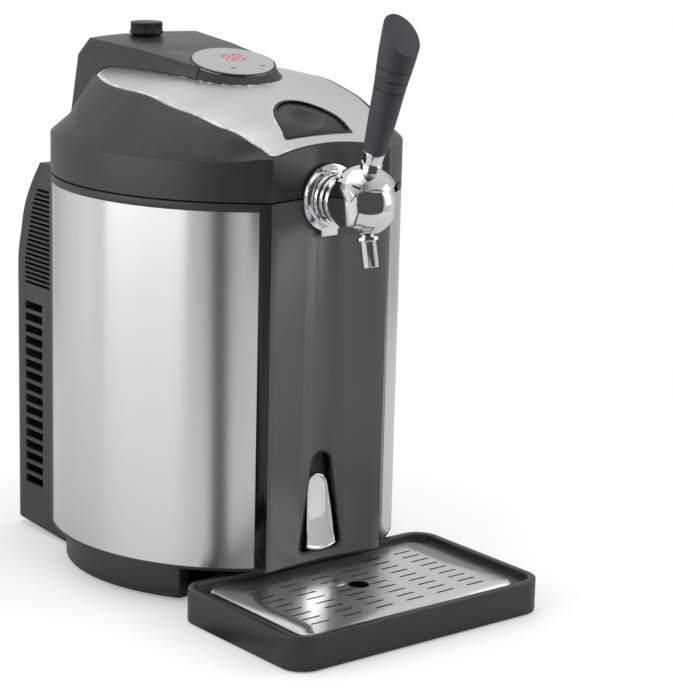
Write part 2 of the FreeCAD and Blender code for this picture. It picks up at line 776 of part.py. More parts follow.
def fan_screws():
    """Four long screws that hold the fan to the heat sink."""
    screws = []
    for x, z in fan_screw_places():
        head = rod_y(x, z, fan_y + fan_t, fan_y + fan_t + screw_head[1], screw_head[0])
        screws.append(joined([head, rod_y(x, z, fan_y, fan_y + fan_t + 1, fan_screw_r)]))
    return Part.makeCompound(screws)


# ---------------------------------------------------------------- rear housing
def housing_plan(inset):
    """Plan of the rear housing, moved inwards by inset."""
    half = housing_half - inset
    y = back_y - inset
    r = housing_round
    start = housing_start
    bow_r = (half ** 2 + rear_crown ** 2) / (2 * rear_crown)
    mid_y = y + rear_crown
    drop = bow_r - math.sqrt(bow_r ** 2 - (half - r) ** 2)
    a = V(half - r, mid_y - drop, 0)
    k = r * (1 - math.sqrt(0.5))
    edges = [Part.makeLine(V(-half, start, 0), V(half, start, 0)),
             Part.makeLine(V(half, start, 0), V(half, a.y - r, 0)),
             Part.Arc(V(half, a.y - r, 0), V(half - k, a.y - k, 0), a).toShape(),
             Part.Arc(a, V(0, mid_y, 0), V(-a.x, a.y, 0)).toShape(),
             Part.Arc(V(-a.x, a.y, 0), V(-half + k, a.y - k, 0), V(-half, a.y - r, 0)).toShape(),
             Part.makeLine(V(-half, a.y - r, 0), V(-half, start, 0))]
    return Part.Face(Part.Wire(edges))


def housing_profile(inset):
    """Side view of the rear housing, moved inwards by inset, as a wide slab."""
    back = back_y + rear_crown - inset
    rise = [V(0, back + off, z) for off, z in housing_lean[:-1]]
    rise.append(V(0, back + housing_lean[-1][0], housing_top_z - inset))
    curve = Part.BSplineCurve()
    curve.interpolate(rise)
    low = foot_h + inset
    start = housing_start
    corners = [rise[-1], V(0, start, rise[-1].z), V(0, start, low), V(0, housing_front_y, low),
               V(0, rise[0].y, low + housing_heel), rise[0]]
    edges = [curve.toShape()] + [Part.makeLine(p, q) for p, q in zip(corners, corners[1:])]
    slab = Part.Face(Part.Wire(Part.__sortEdges__(edges))).extrude(V(FAR, 0, 0))
    slab.translate(V(-FAR / 2, 0, 0))
    return slab


def rear_housing():
    """Moulded cover over the cooling unit, with side vents and wings behind the steel panels."""
    outer = lift(housing_plan(0), foot_h, housing_top_z).common(housing_profile(0))
    inner = lift(housing_plan(plastic_t), foot_h + plastic_t, FAR).common(housing_profile(plastic_t))
    cover = outer.cut(inner)
    cover = cover.cut(lift(outline(), base_top_z, FAR))
    cover = cover.cut(lift(outline(plinth_inset - fit), 0, base_top_z))
    cover = cover.cut(box(-FAR, FAR, -FAR, housing_front_y, 0, base_top_z))
    wing = ring(0, skin_t, lip_z + fit, collar_z - fit)
    wing = wing.common(box(rear_gate_half - 1, FAR, steel_end_y + fit, FAR, 0, FAR))
    cover = joined(cover.Solids + [wing, mirror_x(wing)])
    cover = cover.cut(both(side_vents()))
    cover = cover.cut(rear_vents())
    cover = cover.cut(inlet_block(fit)).cut(switch_block(fit))
    for x0, x1 in ear_spans():
        cover = cover.cut(both(box(x0 - move_gap, x1 + move_gap, -FAR, FAR, collar_z - move_gap, FAR)))
    return cover


def side_vents():
    """Two groups of slots in the right-hand wall: wide ones below, fine ones above."""
    cuts = []
    z0, count, pitch, height = vent_low
    for i in range(count):
        z = z0 + i * pitch
        cuts.append(box(housing_half - 8, housing_half + 5, vent_low_y, FAR, z, z + height))
    z0, count, pitch, height = vent_high
    for i in range(count):
        z = z0 + i * pitch
        cuts.append(box(housing_half - 8, housing_half + 5, vent_high_y, FAR, z, z + height))
    limit = housing_profile(vent_edge).common(box(-FAR, FAR, 0, back_y - vent_end, 0, FAR))
    return Part.makeCompound([c.common(limit) for c in cuts])


def rear_vents():
    """Round grille of straight slots behind the fan."""
    cuts = []
    pitch = 8.0
    count = 11
    for i in range(count):
        z = sink_z + (i - (count - 1) / 2) * pitch
        half = math.sqrt(max(fan_bore ** 2 - (z - sink_z) ** 2, 100.0))
        cuts.append(box(-half, half, back_y - 12, FAR, z - 2, z + 2))
    rib = box(-2, 2, 0, FAR, 0, FAR)
    return Part.makeCompound([c.cut(rib) for c in cuts])


def inlet_block(extra):
    """Body of the mains inlet, grown by extra."""
    return box(inlet_x - inlet_half - extra, inlet_x + inlet_half + extra, back_y - 26, rear_depth + 1,
               inlet_z - inlet_high - extra, inlet_z + inlet_high + extra)


def mains_inlet():
    """Appliance inlet with three pins in a deep socket."""
    y_face = rear_wall_y(inlet_x) + socket_proud
    body = inlet_block(0).common(box(-FAR, FAR, 0, y_face, 0, FAR))
    socket = box(inlet_x - inlet_half + 2.5, inlet_x + inlet_half - 2.5, y_face - 16, FAR,
                 inlet_z - inlet_high + 2.5, inlet_z + inlet_high - 2.5)
    body = body.cut(socket)
    places = [(inlet_x + dx, inlet_z + dz) for dx, dz in ((-7.0, -1.5), (0.0, 2.0), (7.0, -1.5))]
    pins = [box(x - 1, x + 1, y_face - 17, y_face - 4, z - 2, z + 2) for x, z in places]
    return joined([body] + pins)


def rear_wall_y(x):
    """Outer face of the rear wall at x."""
    bow_r = (housing_half ** 2 + rear_crown ** 2) / (2 * rear_crown)
    return back_y + rear_crown - (bow_r - math.sqrt(bow_r ** 2 - x ** 2))


def switch_block(extra):
    """Body of the power switch, grown by extra."""
    return box(switch_x - switch_half - extra, switch_x + switch_half + extra, back_y - 20, rear_depth + 1,
               inlet_z - switch_high - extra, inlet_z + switch_high + extra)


def switch_frame():
    """Frame of the rocker switch."""
    y_face = rear_wall_y(switch_x) + socket_proud
    body = switch_block(0).common(box(-FAR, FAR, 0, y_face, 0, FAR))
    pocket = box(switch_x - switch_half + switch_wall, switch_x + switch_half - switch_wall, y_face - 9, FAR,
                 inlet_z - switch_high + switch_wall, inlet_z + switch_high - switch_wall)
    body = body.cut(pocket)
    reach = switch_high - switch_wall / 3
    axle_y = y_face - rocker_depth
    return body.cut(post(switch_x, axle_y, inlet_z - reach, inlet_z + reach, rocker_axle_r + axle_fit))


def power_rocker():
    """Rocker that tips about an axis along z, shown pressed on one side."""
    half = switch_half - switch_wall - move_gap - rocker_slack
    high = switch_high - switch_wall - move_gap
    pivot = V(switch_x, rear_wall_y(switch_x) + socket_proud - rocker_depth, 0)
    plan = polygon([(-half, rocker_rise, 0), (-half + 1, rocker_rise - 2.5, 0), (0, -2.2, 0),
                    (half - 1, rocker_rise - 2.5, 0), (half, rocker_rise, 0), (0, rocker_rise - 0.6, 0)])
    reach = switch_high - switch_wall / 2
    axle = post(0, 0, inlet_z - reach, inlet_z + reach, rocker_axle_r)
    rocker = joined([lift(plan, inlet_z - high, inlet_z + high), axle])
    return turned(rocker, rocker_tilt, V(0, 0, 0), Z_AXIS).translated(pivot)


def power_board():
    """Power supply board on the rear wall, with its transformer and capacitors."""
    y = back_y - plastic_t - 4.0
    z0, z1 = power_board_z
    board = box(-power_board_half, power_board_half, y - 1.6, y, z0, z1)
    transformer = box(-26, 2, y - 15, y - 1, z0 + 8, z1 - 20)
    capacitor = rod_y(20, z0 + 18, y - 15, y - 1, 7)
    filter_coil = box(8, 28, y - 9, y - 1, z1 - 20, z1 - 6)
    x = power_board_half - 6
    wall = rear_wall_y(x) - plastic_t - fit
    studs = [rod_y(s * x, z, y - 0.5, wall, 3) for s in (-1, 1) for z in (z0 + 6, z1 - 6)]
    return joined([board, transformer, capacitor, filter_coil] + studs)


# ---------------------------------------------------------------- lid
def under_top(drop):
    """Everything below the lid's top, lowered by drop: its rise, turned about a line far below."""
    centre_z = max(z for y, z in lid_rise) - lid_crown_r
    low = centre_z + lid_crown_r / 2
    curve = Part.BSplineCurve()
    curve.interpolate([V(0, y, z - drop) for y, z in lid_rise])
    (y0, z0), (y1, z1) = lid_rise[0], lid_rise[-1]
    corners = [V(0, y1, z1 - drop), V(0, y1, low), V(0, y0, low), V(0, y0, z0 - drop)]
    edges = [curve.toShape()] + [Part.makeLine(p, q) for p, q in zip(corners, corners[1:])]
    half = Part.Face(Part.Wire(edges))
    half.rotate(V(0, 0, centre_z), Y_AXIS, -crown_sweep)
    return half.revolve(V(0, 0, centre_z), Y_AXIS, 2 * crown_sweep)


def flank_cone(inset, r0, slope, z0):
    """Rear half of a cone about the keg axis that has radius r0 at height z0, moved inwards by inset."""
    height = 60.0
    below = 40.0
    r = r0 - inset * math.sqrt(1 + slope ** 2) / slope
    cone = Part.makeCone(r + below / slope, r - height / slope, height + below, V(0, keg_axis_y, z0 - below))
    return cone.common(box(-FAR, FAR, keg_axis_y, FAR, 0, FAR))


def flank_line(y):
    """Height of the crease at depth y, and the slope of the flank there."""
    for (y0, up0, slope0), (y1, up1, slope1) in zip(lid_flanks, lid_flanks[1:]):
        if y <= y1:
            break
    share = (y - y0) / (y1 - y0)
    return lid_crease_z + up0 + share * (up1 - up0), slope0 + share * (slope1 - slope0)


def flank_section(y, inset):
    """Cross-section at depth y of everything below the two flanks, moved inwards by inset."""
    half = body_r - side_r + math.sqrt(side_r ** 2 - (keg_axis_y - y) ** 2) - inset * flank_skew
    crease, slope = flank_line(y)
    right = [(flank_mid, crease + (half - flank_mid) * slope),
             (half + flank_over, crease - flank_over * slope), (half + flank_over, collar_z)]
    left = [(-x, z) for x, z in reversed(right)]
    corners = [V(x, y, z) for x, z in left + right]
    return Part.makePolygon(corners + corners[:1])


def flanks(inset):
    """Envelope of the sloping flanks of the lid, moved inwards by inset."""
    first, last = lid_flanks[0][0], lid_flanks[-1][0]
    count = round((last - first) / flank_step)
    sections = [flank_section(first + (last - first) * i / count, inset) for i in range(count + 1)]
    sides = Part.makeLoft(sections, True, False)
    front = sides.common(box(-FAR, FAR, -FAR, keg_axis_y, 0, FAR))
    rear = flank_cone(inset, body_r, flank_slope, lid_crease_z)
    tips = sides.common(flank_cone(inset, tip_r, tip_slope, tip_z))
    return joined([front, rear, tips])


def lid_block(inset, drop):
    """Solid form of the lid without its console."""
    band = lift(outline(inset), lid_z, 430)
    return band.common(flanks(inset)).common(under_top(drop))


def console_section(y, half, z_top, inset):
    """Cross-section of the console at depth y: flat top, bevels and upright sides."""
    half_in = half - inset
    z = z_top - inset
    low = hinge_z + knuckle_r + 2
    wide = half_in + console_bevel
    z_bevel = z - console_bevel_h
    return Part.makePolygon([V(-wide, y, low), V(-wide, y, z_bevel), V(-half_in, y, z), V(half_in, y, z),
                             V(wide, y, z_bevel), V(wide, y, low), V(-wide, y, low)])


def console_round(inset):
    """Solid about the keg axis that gives the console its round back and its low foot."""
    (top_r, top_z), (chamfer_r, chamfer_z), (wall_r, wall_z) = console_back
    low = hinge_z + knuckle_r + 2
    edge_r = top_r - inset / 2
    profile = [(0, console_foot_z), (0, FAR), (edge_r, FAR), (edge_r, top_z - inset / 2),
               (chamfer_r - inset, chamfer_z - inset / 2), (wall_r - inset, wall_z), (wall_r - inset, low),
               (console_step, low), (console_step, console_foot_z)]
    face = polygon([(r, keg_axis_y, z) for r, z in profile])
    return face.revolve(V(0, keg_axis_y, 0), Z_AXIS, 360)


def console_parts(inset):
    """The console's two forms: the long wedge with its round back, and the skirt of the display."""
    wedge = Part.makeLoft([console_section(y, half, z, inset) for y, half, z in console_stations], True, True)
    return [wedge.common(console_round(inset)), skirt_cone(inset)]


def without_console(shape):
    """The shape with the console's place cut out of it."""
    for part in console_parts(-fit):
        shape = shape.cut(part)
    return shape


def ellipse_wire(cx, cy, cz, half_x, half_y, tilt):
    """Ellipse about a centre, leaning forward by tilt degrees."""
    if half_x >= half_y:
        curve = Part.Ellipse(V(0, 0, 0), half_x, half_y).toShape()
    else:
        curve = Part.Ellipse(V(0, 0, 0), half_y, half_x).toShape()
        curve.rotate(V(0, 0, 0), Z_AXIS, 90)
    curve.rotate(V(0, 0, 0), X_AXIS, tilt)
    curve.translate(V(cx, cy, cz))
    return Part.Wire(curve)


def skirt_cone(inset):
    """Flared foot below the display disc."""
    out = 1 - inset
    top = ellipse_wire(0, disc_y, disc_z - disc_t - inset, disc_half_x + out, disc_half_y + out, disc_tilt)
    low = ellipse_wire(0, skirt_y, skirt_z, skirt_half_x - inset, skirt_half_y - inset, 0)
    return Part.makeLoft([low, top], True, True)


def disc_solid(grow, up, down):
    """Disc in the display's tilted plane, from down below to up above its centre."""
    wire = ellipse_wire(0, 0, 0, disc_half_x + grow, disc_half_y + grow, 0)
    disc = Part.Face(wire).extrude(V(0, 0, up + down))
    disc.translate(V(0, 0, -down))
    disc.rotate(V(0, 0, 0), X_AXIS, disc_tilt)
    disc.translate(V(0, disc_y, disc_z))
    return disc


def display_plate():
    """Brushed disc over the display, held in the console."""
    return disc_solid(0, 0, disc_t).cut(display_window(0))


def display_window(extra):
    """Window of the display in the disc."""
    half = window_half + extra
    win = box(-half, half, window_front - extra, window_front + window_depth + extra, -30, 30)
    win.rotate(V(0, 0, 0), X_AXIS, disc_tilt)
    win.translate(V(0, disc_y, disc_z))
    return win


def display_lens():
    """Tinted window in the disc."""
    return disc_solid(0, -0.1, disc_t).common(display_window(-0.05))


def display_board():
    """Circuit board with the display module and touch pads, under the disc."""
    board = disc_solid(-4, -disc_t - 3.2, disc_t + 4.8)
    half = window_half + window_board
    module = box(-half, half, window_front - window_board, window_front + window_depth + window_board,
                 -disc_t - 4, -disc_t - fit)
    module.rotate(V(0, 0, 0), X_AXIS, disc_tilt)
    module.translate(V(0, disc_y, disc_z))
    return joined([board, module])


def knob_top_z():
    """Height of the console's top at the knob."""
    (y0, _, z0), (y1, _, z1) = console_stations[-3:-1]
    return z0 + (z1 - z0) * (knob_y - y0) / (y1 - y0)


def lid_console():
    """Console cover: carries the display and the pressure knob, and closes the back of the lid."""
    cover = joined(console_parts(0))
    for part in console_parts(console_wall):
        cover = cover.cut(part)
    cover = cover.cut(disc_solid(-2.5, 10, 6)).cut(disc_solid(fit, 10, disc_t))
    cover = cover.cut(post(0, knob_y, knob_top_z() - 12, FAR, knob_shaft_r + move_gap))
    return cover


def lid_shell():
    """Moulded outer shell of the lid: upright band, sloping flanks and the seat of the steel plate."""
    outer = lid_block(0, 0)
    inner = lid_block(plastic_t, plastic_t + plate_t)
    inner = inner.fuse(lift(outline(plastic_t), lid_z - 1, lid_z + 6))
    shell = without_console(outer.cut(inner))
    shell = shell.cut(plate_zone(plate_gap))
    shell = shell.cut(latch_cup(fit))
    shell = shell.cut(shank_gate_lid(collar_boss_r - shank_r + 1.8, 0, 30))
    shell = joined(shell.Solids + lid_knuckles())
    return shell


def shank_gate_lid(extra, y0, y1):
    """Space that the closed lid leaves over the tap's shank."""
    r = shank_r + extra
    return joined([rod_y(0, tap_z, y0, y1, r), box(-r, r, y0, y1, tap_z - 40, tap_z)])


def plate_zone(gap):
    """Space of the steel top plate."""
    slab = under_top(-1 if gap else 0).cut(under_top(plate_t))
    zone = slab.common(flanks(plate_border - gap))
    tip_y = plate_end_y - plate_tip_r
    turn = math.radians(plate_tip_turn)
    beside = [(plate_tip_x, tip_y, 0), (FAR, tip_y, 0), (FAR, FAR, 0),
              (plate_tip_x + FAR * math.cos(turn), tip_y + FAR * math.sin(turn), 0)]
    end = joined([post(plate_tip_x, tip_y, 0, FAR, plate_tip_r + gap), lift(polygon(beside), 0, FAR)])
    zone = zone.common(joined([box(-FAR, FAR, -FAR, tip_y, 0, FAR), end, mirror_x(end)]))
    return zone.common(lift(outline(plate_border - gap), 0, FAR))


def lid_top_plate():
    """Brushed steel plate on the lid, cut out round the console and the latch."""
    return without_console(plate_zone(0)).cut(latch_cup(fit))


def lid_knuckles():
    """Two hinge knuckles behind the lid, each joined to the band."""
    x0 = knuckle_x - knuckle_w / 2
    x1 = knuckle_x + knuckle_w / 2
    arm = box(x0, x1, keg_axis_y + 100, hinge_y, hinge_z - 1, hinge_z + knuckle_r)
    arm = arm.cut(post(0, keg_axis_y, 0, FAR, body_r - 1.5))
    knuckle = joined([arm, rod_x(hinge_y, hinge_z, x0, x1, knuckle_r)])
    knuckle = knuckle.cut(rod_x(hinge_y, hinge_z, x0 - 1, x1 + 1, hinge_pin_r + axle_fit))
    return [knuckle, mirror_x(knuckle)]


def lid_liner():
    """Inner wall of the lid: a flat ring over the deck and a round dome over the keg's tap."""
    ring_plate = lift(outline(plastic_t + fit), lid_z + 0.5, lid_z + 2.5)
    dome = post(0, keg_axis_y, lid_z + 0.5, lid_dome_z, liner_r - 2)
    cavity = post(0, keg_axis_y, lid_z, lid_dome_z - 2, liner_r - 4)
    liner = joined([ring_plate, dome]).cut(cavity)
    liner = liner.cut(shank_gate_lid(1.0, 0, shank_end_y + 2))
    liner = liner.cut(box(-nut_corner, nut_corner, 0, nut_y + nut_t + 2, 0, tap_z + nut_half + 2))
    liner = liner.cut(hook_way(move_gap))
    x0 = hook_x + hook_w / 2 + move_gap
    lug = box(x0, x0 + 4, hook_y - 2, hook_y + hook_t + 2, lid_z + 1, hook_bridge_z + 3)
    lug = lug.cut(rod_x(hook_y + hook_t / 2, hook_bridge_z, 0, FAR, hook_pin_r))
    return joined([liner, lug, mirror_x(lug)])


def lid_insulation():
    """Foam between the lid's dome and its outer shell."""
    foam = lift(outline(plastic_t + 3), lid_z + 2.7, 352)
    foam = foam.common(box(-FAR, FAR, keg_axis_y - 84, keg_axis_y + 122, 0, FAR))
    cap = post(0, keg_axis_y, 340, lid_dome_z + 6, liner_r + 2)
    foam = joined([foam, cap])
    foam = foam.cut(post(0, keg_axis_y, 0, lid_dome_z, liner_r - 2))
    foam = foam.cut(shank_gate_lid(2.0, 0, shank_end_y + 3)).cut(latch_cup(fit))
    return without_console(foam)


def lid_seal():
    """Soft ring under the lid that closes on the deck."""
    seal = post(0, keg_axis_y, deck_z + move_gap, lid_z + 0.5, liner_r + 9)
    seal = seal.cut(post(0, keg_axis_y, 0, FAR, liner_r + 3))
    return seal.cut(shank_gate_lid(1.0, 0, shank_end_y + 2))


# ---------------------------------------------------------------- latch
def on_slope(shape):
    """Place a piece drawn flat at the origin onto the sloping front of the lid."""
    placed = shape.copy()
    placed.rotate(V(0, 0, 0), X_AXIS, latch_slope)
    placed.translate(V(0, latch_y, latch_z))
    return placed


def latch_plan(inset):
    """Half-moon plan of the latch: straight front edge, arched back."""
    half = latch_half - inset
    length = latch_len - 2 * inset
    ell = Part.Face(ellipse_wire(0, inset, 0, half, length, 0))
    front = Part.makePlane(2 * FAR, FAR, V(-FAR, inset, 0))
    return ell.common(front)


def latch_cup(extra):
    """Space of the latch's housing in the lid."""
    cup = latch_plan(-extra).Faces[0].extrude(V(0, 0, latch_depth + latch_over))
    return on_slope(cup.translated(V(0, 0, -latch_depth - extra)))


def latch_bezel():
    """Black housing of the latch, set in the top plate."""
    cup = latch_plan(0).Faces[0].extrude(V(0, 0, latch_depth + latch_over)).translated(V(0, 0, -latch_depth))
    cup = on_slope(cup).common(under_top(-0.9))
    hollow = latch_plan(latch_wall).Faces[0].extrude(V(0, 0, FAR))
    hollow = hollow.translated(V(0, 0, -latch_depth + latch_wall))
    return cup.cut(on_slope(hollow)).cut(latch_axle(axle_fit, fit))


def latch_axle(grow, longer):
    """Axle of the latch's paddle near its rear edge, or with grow its hole in the housing."""
    reach = latch_axle_half + longer
    return on_slope(rod_x(latch_axle_y, latch_axle_z, -reach, reach, latch_axle_r + grow))


def latch_button():
    """Dished paddle that is pressed to free the lid; it tips about an axle near its rear edge."""
    inset = latch_wall + move_gap + 0.3
    blank = latch_plan(inset).Faces[0].extrude(V(0, 0, latch_depth + latch_over))
    blank = blank.translated(V(0, 0, -latch_depth + latch_wall + latch_room))
    blank = on_slope(blank).common(under_top(1.0))
    dish = Part.makeSphere(latch_dish_r, V(0, latch_len * 0.42, latch_dish_r - latch_dish))
    return joined([blank.cut(on_slope(dish)), latch_axle(0, 0)])


def prong_box(side, extra):
    """Space of one prong of the latch hook."""
    x = side * hook_x
    return box(x - hook_w / 2 - extra, x + hook_w / 2 + extra, hook_y - extra, hook_y + hook_t + extra,
               deck_z - deck_t - 4, lid_z + 25)


def latch_hook():
    """Bridge over the tap's shank with two prongs that reach into the deck."""
    back = hook_y + hook_t
    low = deck_z - deck_t - 2
    reach = hook_x + hook_w / 2
    parts = [box(-reach, reach, hook_y, back, hook_bridge_z - 4, hook_bridge_z + 4)]
    for side in (-1, 1):
        x = side * hook_x
        parts.append(box(x - hook_w / 2, x + hook_w / 2, hook_y, back, low, hook_bridge_z - 2))
    pin_y = hook_y + hook_t / 2
    return joined(parts).cut(rod_x(pin_y, hook_bridge_z, -FAR / 2, FAR / 2, hook_pin_r + axle_fit))


def hook_pivot():
    """Pin that the latch hook swings on, held between two lugs of the lid's liner."""
    reach = hook_x + hook_w / 2 + move_gap + 4
    return rod_x(hook_y + hook_t / 2, hook_bridge_z, -reach, reach, hook_pin_r)


# ---------------------------------------------------------------- knob and regulator
def pressure_knob():
    """Fluted knob with a ring and a collar below, and a shaft down into the regulator."""
    z0 = knob_top_z() + knob_gap
    ring_z, ring_t, ring_out = knob_ring
    low = z0 + ring_z + ring_t
    knob = post(0, knob_y, low - 1, z0 + knob_h, knob_r)
    groove = post(0, 0, low, z0 + knob_h - 1, knob_flute_r)
    cuts = []
    for i in range(knob_flutes):
        a = 2 * math.pi * i / knob_flutes
        cuts.append(groove.translated(V(knob_r * math.cos(a), knob_y + knob_r * math.sin(a), 0)))
    knob = knob.cut(Part.makeCompound(cuts))
    collar = post(0, knob_y, z0, z0 + ring_z + 1, knob_r - knob_flute_r)
    ring_disc = post(0, knob_y, z0 + ring_z, low, knob_r + ring_out)
    shaft = post(0, knob_y, z0 - 14, z0 + 1, knob_shaft_r)
    return joined([knob, collar, ring_disc, shaft])


def regulator_body():
    """Pressure regulator hung below the console's top, with a hose barb."""
    top = knob_top_z() - console_wall - regulator_gap
    low = top - regulator_h
    barb_z = (top + low) / 2
    neck = post(0, knob_y, top - 8, top, regulator_rim_r)
    body = post(0, knob_y, low, top - 6, regulator_r)
    barb_y = knob_y - 2 * regulator_r
    barb = rod_y(0, barb_z, barb_y, knob_y, 3.5)
    collars = [rod_y(0, barb_z, y, y + 3, 4.6) for y in (barb_y + 1, barb_y + 6)]
    whole = joined([body, neck, barb] + collars)
    return whole.cut(post(0, knob_y, top - 14, FAR, knob_shaft_r + move_gap))


# ---------------------------------------------------------------- tap
def tap_flange():
    """Round chromed flange with a locating tab below, clamped against the front panel and seam."""
    disc = rod_y(0, tap_z, flange_y - flange_t, flange_y, flange_r)
    boss = rod_y(0, tap_z, flange_y - 1, front_hollow - 0.45, collar_boss_r)
    tab = box(-tab_half, tab_half, flange_y - flange_t, flange_y, tap_z - tab_low, tap_z - flange_r + 4)
    flange = joined([disc, boss, tab])
    return flange.cut(rod_y(0, tap_z, -FAR / 2, FAR, shank_r))


def tap_body():
    """Chromed tap casting: ball with flat cheeks, ringed neck and threaded shank."""
    ball = Part.makeSphere(ball_r, V(0, ball_y, ball_z))
    ball = ball.common(box(-ball_flat, ball_flat, -FAR, FAR, 0, FAR))
    y_front = flange_y - flange_t
    steps = [(21.5, 6.0), (19.8, 4.5), (18.2, 4.5), (16.6, 5.0)]
    parts = [ball]
    y = y_front
    for r, length in steps:
        parts.append(rod_y(0, tap_z, y - length, y, r))
        y -= length
    parts.append(rod_y(0, tap_z, ball_y, y, 13.5))
    parts.append(rod_y(0, tap_z, y_front - 1, shank_end_y, shank_r))
    body = joined(parts)
    cavity = rod_x(ball_y, ball_z, -cavity_half, cavity_half, cavity_r)
    body = body.cut(cavity)
    body = body.cut(stem_slot())
    body = body.cut(rod_y(0, tap_z, ball_y, shank_end_y + 1, valve_bore))
    body = body.cut(spout_rod(spout_r - 1.0, 0, ball_r + 1))
    return body.cut(rod_x(ball_y, ball_z, -ball_flat + 1.5, ball_flat - 1.5, pin_r))


def lever_frame(shape):
    """Turn a piece drawn upright at the origin into the lever's place on the ball."""
    placed = shape.copy()
    placed.rotate(V(0, 0, 0), X_AXIS, lever_tilt)
    placed.translate(V(0, ball_y, ball_z))
    return placed


def stem_slot():
    """Slot in the top of the ball, long enough for the lever's whole swing."""
    slots = []
    half = stem_r + 0.6
    steps = 6
    for i in range(steps):
        angle = lever_back + (lever_forward - lever_back) * i / (steps - 1)
        slot = box(-half, half, -half, half, 0, ball_r + 2)
        slot.rotate(V(0, 0, 0), X_AXIS, lever_tilt + angle)
        slot.translate(V(0, ball_y, ball_z))
        slots.append(slot)
    return joined(slots)


def pivot_pin():
    """Steel pin across the ball that the lever turns on."""
    return rod_x(ball_y, ball_z, -ball_flat + 1.5, ball_flat - 1.5, pin_r)


def lever_stem():
    """Steel stem with an eye round the pivot pin."""
    eye = rod_x(0, 0, -stem_r, stem_r, eye_r)
    stem = post(0, 0, 2, ferrule_top - 3, stem_r)
    whole = joined([eye, stem]).cut(rod_x(0, 0, -FAR / 2, FAR / 2, pin_r + axle_fit))
    return lever_frame(whole)


def lever_hood():
    """Chromed hood that rides over the ball, with two pointed cheeks."""
    inner_r = ball_r + move_gap
    inner_x = ball_flat + move_gap
    outer_x = inner_x + hood_t
    outer = Part.makeSphere(inner_r + hood_t).common(box(-outer_x, outer_x, -FAR, FAR, -FAR, FAR))
    inner = Part.makeSphere(inner_r).common(box(-inner_x, inner_x, -FAR, FAR, -FAR, FAR))
    shell = outer.cut(inner)
    crown = box(-FAR, FAR, -FAR, FAR, hood_edge, FAR)
    side = [(-17.0, hood_edge), (-hood_tip_y, hood_tip_z), (9.0, 12.5), (18.0, hood_edge)]
    cheek = polygon([(-outer_x, y, z) for y, z in side]).extrude(V(2 * outer_x, 0, 0))
    keep = crown.fuse(cheek.cut(box(-inner_x, inner_x, -FAR, FAR, -FAR, FAR)))
    hood = shell.common(keep)
    collar = post(0, 0, inner_r - 0.5, ferrule_top - 10, 8.2).cut(Part.makeSphere(inner_r))
    hood = joined(hood.Solids + [collar])
    return lever_frame(hood.cut(post(0, 0, 0, FAR, stem_r)))


def handle_ferrule():
    """Chromed ferrule between hood and grip."""
    z0 = ferrule_top - 10
    cone = Part.makeCone(7.2, 8.4, ferrule_top - z0, V(0, 0, z0))
    return lever_frame(cone.cut(post(0, 0, 0, ferrule_top - 3, stem_r)))


def handle_grip():
    """Tapered soft-touch grip with three ring grooves and an oblique top."""
    z0 = ferrule_top
    profile = [V(0, 0, z0), V(grip_r_low - 1, 0, z0), V(grip_r_low, 0, z0 + 1)]
    curve = Part.BSplineCurve()
    curve.interpolate([V(r, 0, z0 + 1 + share * (grip_top + 1 - z0)) for share, r in grip_line])
    edges = [Part.makeLine(profile[0], profile[1]), Part.makeLine(profile[1], profile[2]), curve.toShape(),
             Part.makeLine(V(grip_r_high, 0, grip_top + 2), V(0, 0, grip_top + 2)),
             Part.makeLine(V(0, 0, grip_top + 2), profile[0])]
    grip = Part.Face(Part.Wire(edges)).revolve(V(0, 0, 0), Z_AXIS, 360)
    for k in range(3):
        z = grip_groove_z + grip_groove_pitch * k
        band = post(0, 0, z, z + grip_groove_w, FAR)
        band = band.cut(post(0, 0, z - 1, z + 3, grip_groove_r + grip_groove_grow * k))
        grip = grip.cut(band)
    slope = math.degrees(math.atan2(grip_cut_drop, 2 * grip_r_high))
    knife = box(-FAR, FAR, -FAR, FAR, 0, FAR)
    knife.rotate(V(0, 0, 0), X_AXIS, slope)
    knife.translate(V(0, 0, grip_top - grip_cut_drop / 2))
    return lever_frame(grip.cut(knife))


def spout_rod(r, start, end):
    """Cylinder down along the spout's axis, from start to end below the ball's centre."""
    rod = Part.makeCylinder(r, end - start, V(0, 0, -end))
    rod.rotate(V(0, 0, 0), X_AXIS, -spout_tilt)
    rod.translate(V(0, ball_y, ball_z))
    return rod


def tap_spout():
    """Chromed spout tube with a collar, screwed up into the ball."""
    top = ball_r - 6
    tube = spout_rod(spout_r - 1.0, top, ball_r + 4)
    outer = spout_rod(spout_r, ball_r + fit, ball_r + spout_len)
    collar = spout_rod(spout_r + 2.2, ball_r + fit, ball_r + 3.5)
    tube = joined([tube, outer, collar])
    return tube.cut(spout_rod(spout_bore, top - 1, ball_r + spout_len + 1))


def shank_nut():
    """Hexagon nut that clamps the tap against the front panel."""
    angles = [math.radians(60 * k) for k in range(6)]
    r = nut_half / math.cos(math.radians(30)) * 0.97
    face = polygon([(r * math.cos(a), 0, r * math.sin(a)) for a in angles])
    nut = face.extrude(V(0, nut_t, 0))
    nut.translate(V(0, nut_y, tap_z))
    return nut.cut(rod_y(0, tap_z, 0, FAR, shank_r))


def valve_rod():
    """Valve rod and seal head that slide in the shank's bore."""
    y0 = ball_y + cavity_r - 2
    rod = rod_y(0, tap_z, y0, 20, 2.0)
    head = rod_y(0, tap_z, 19, 27, valve_bore - 0.3)
    return joined([rod, head])


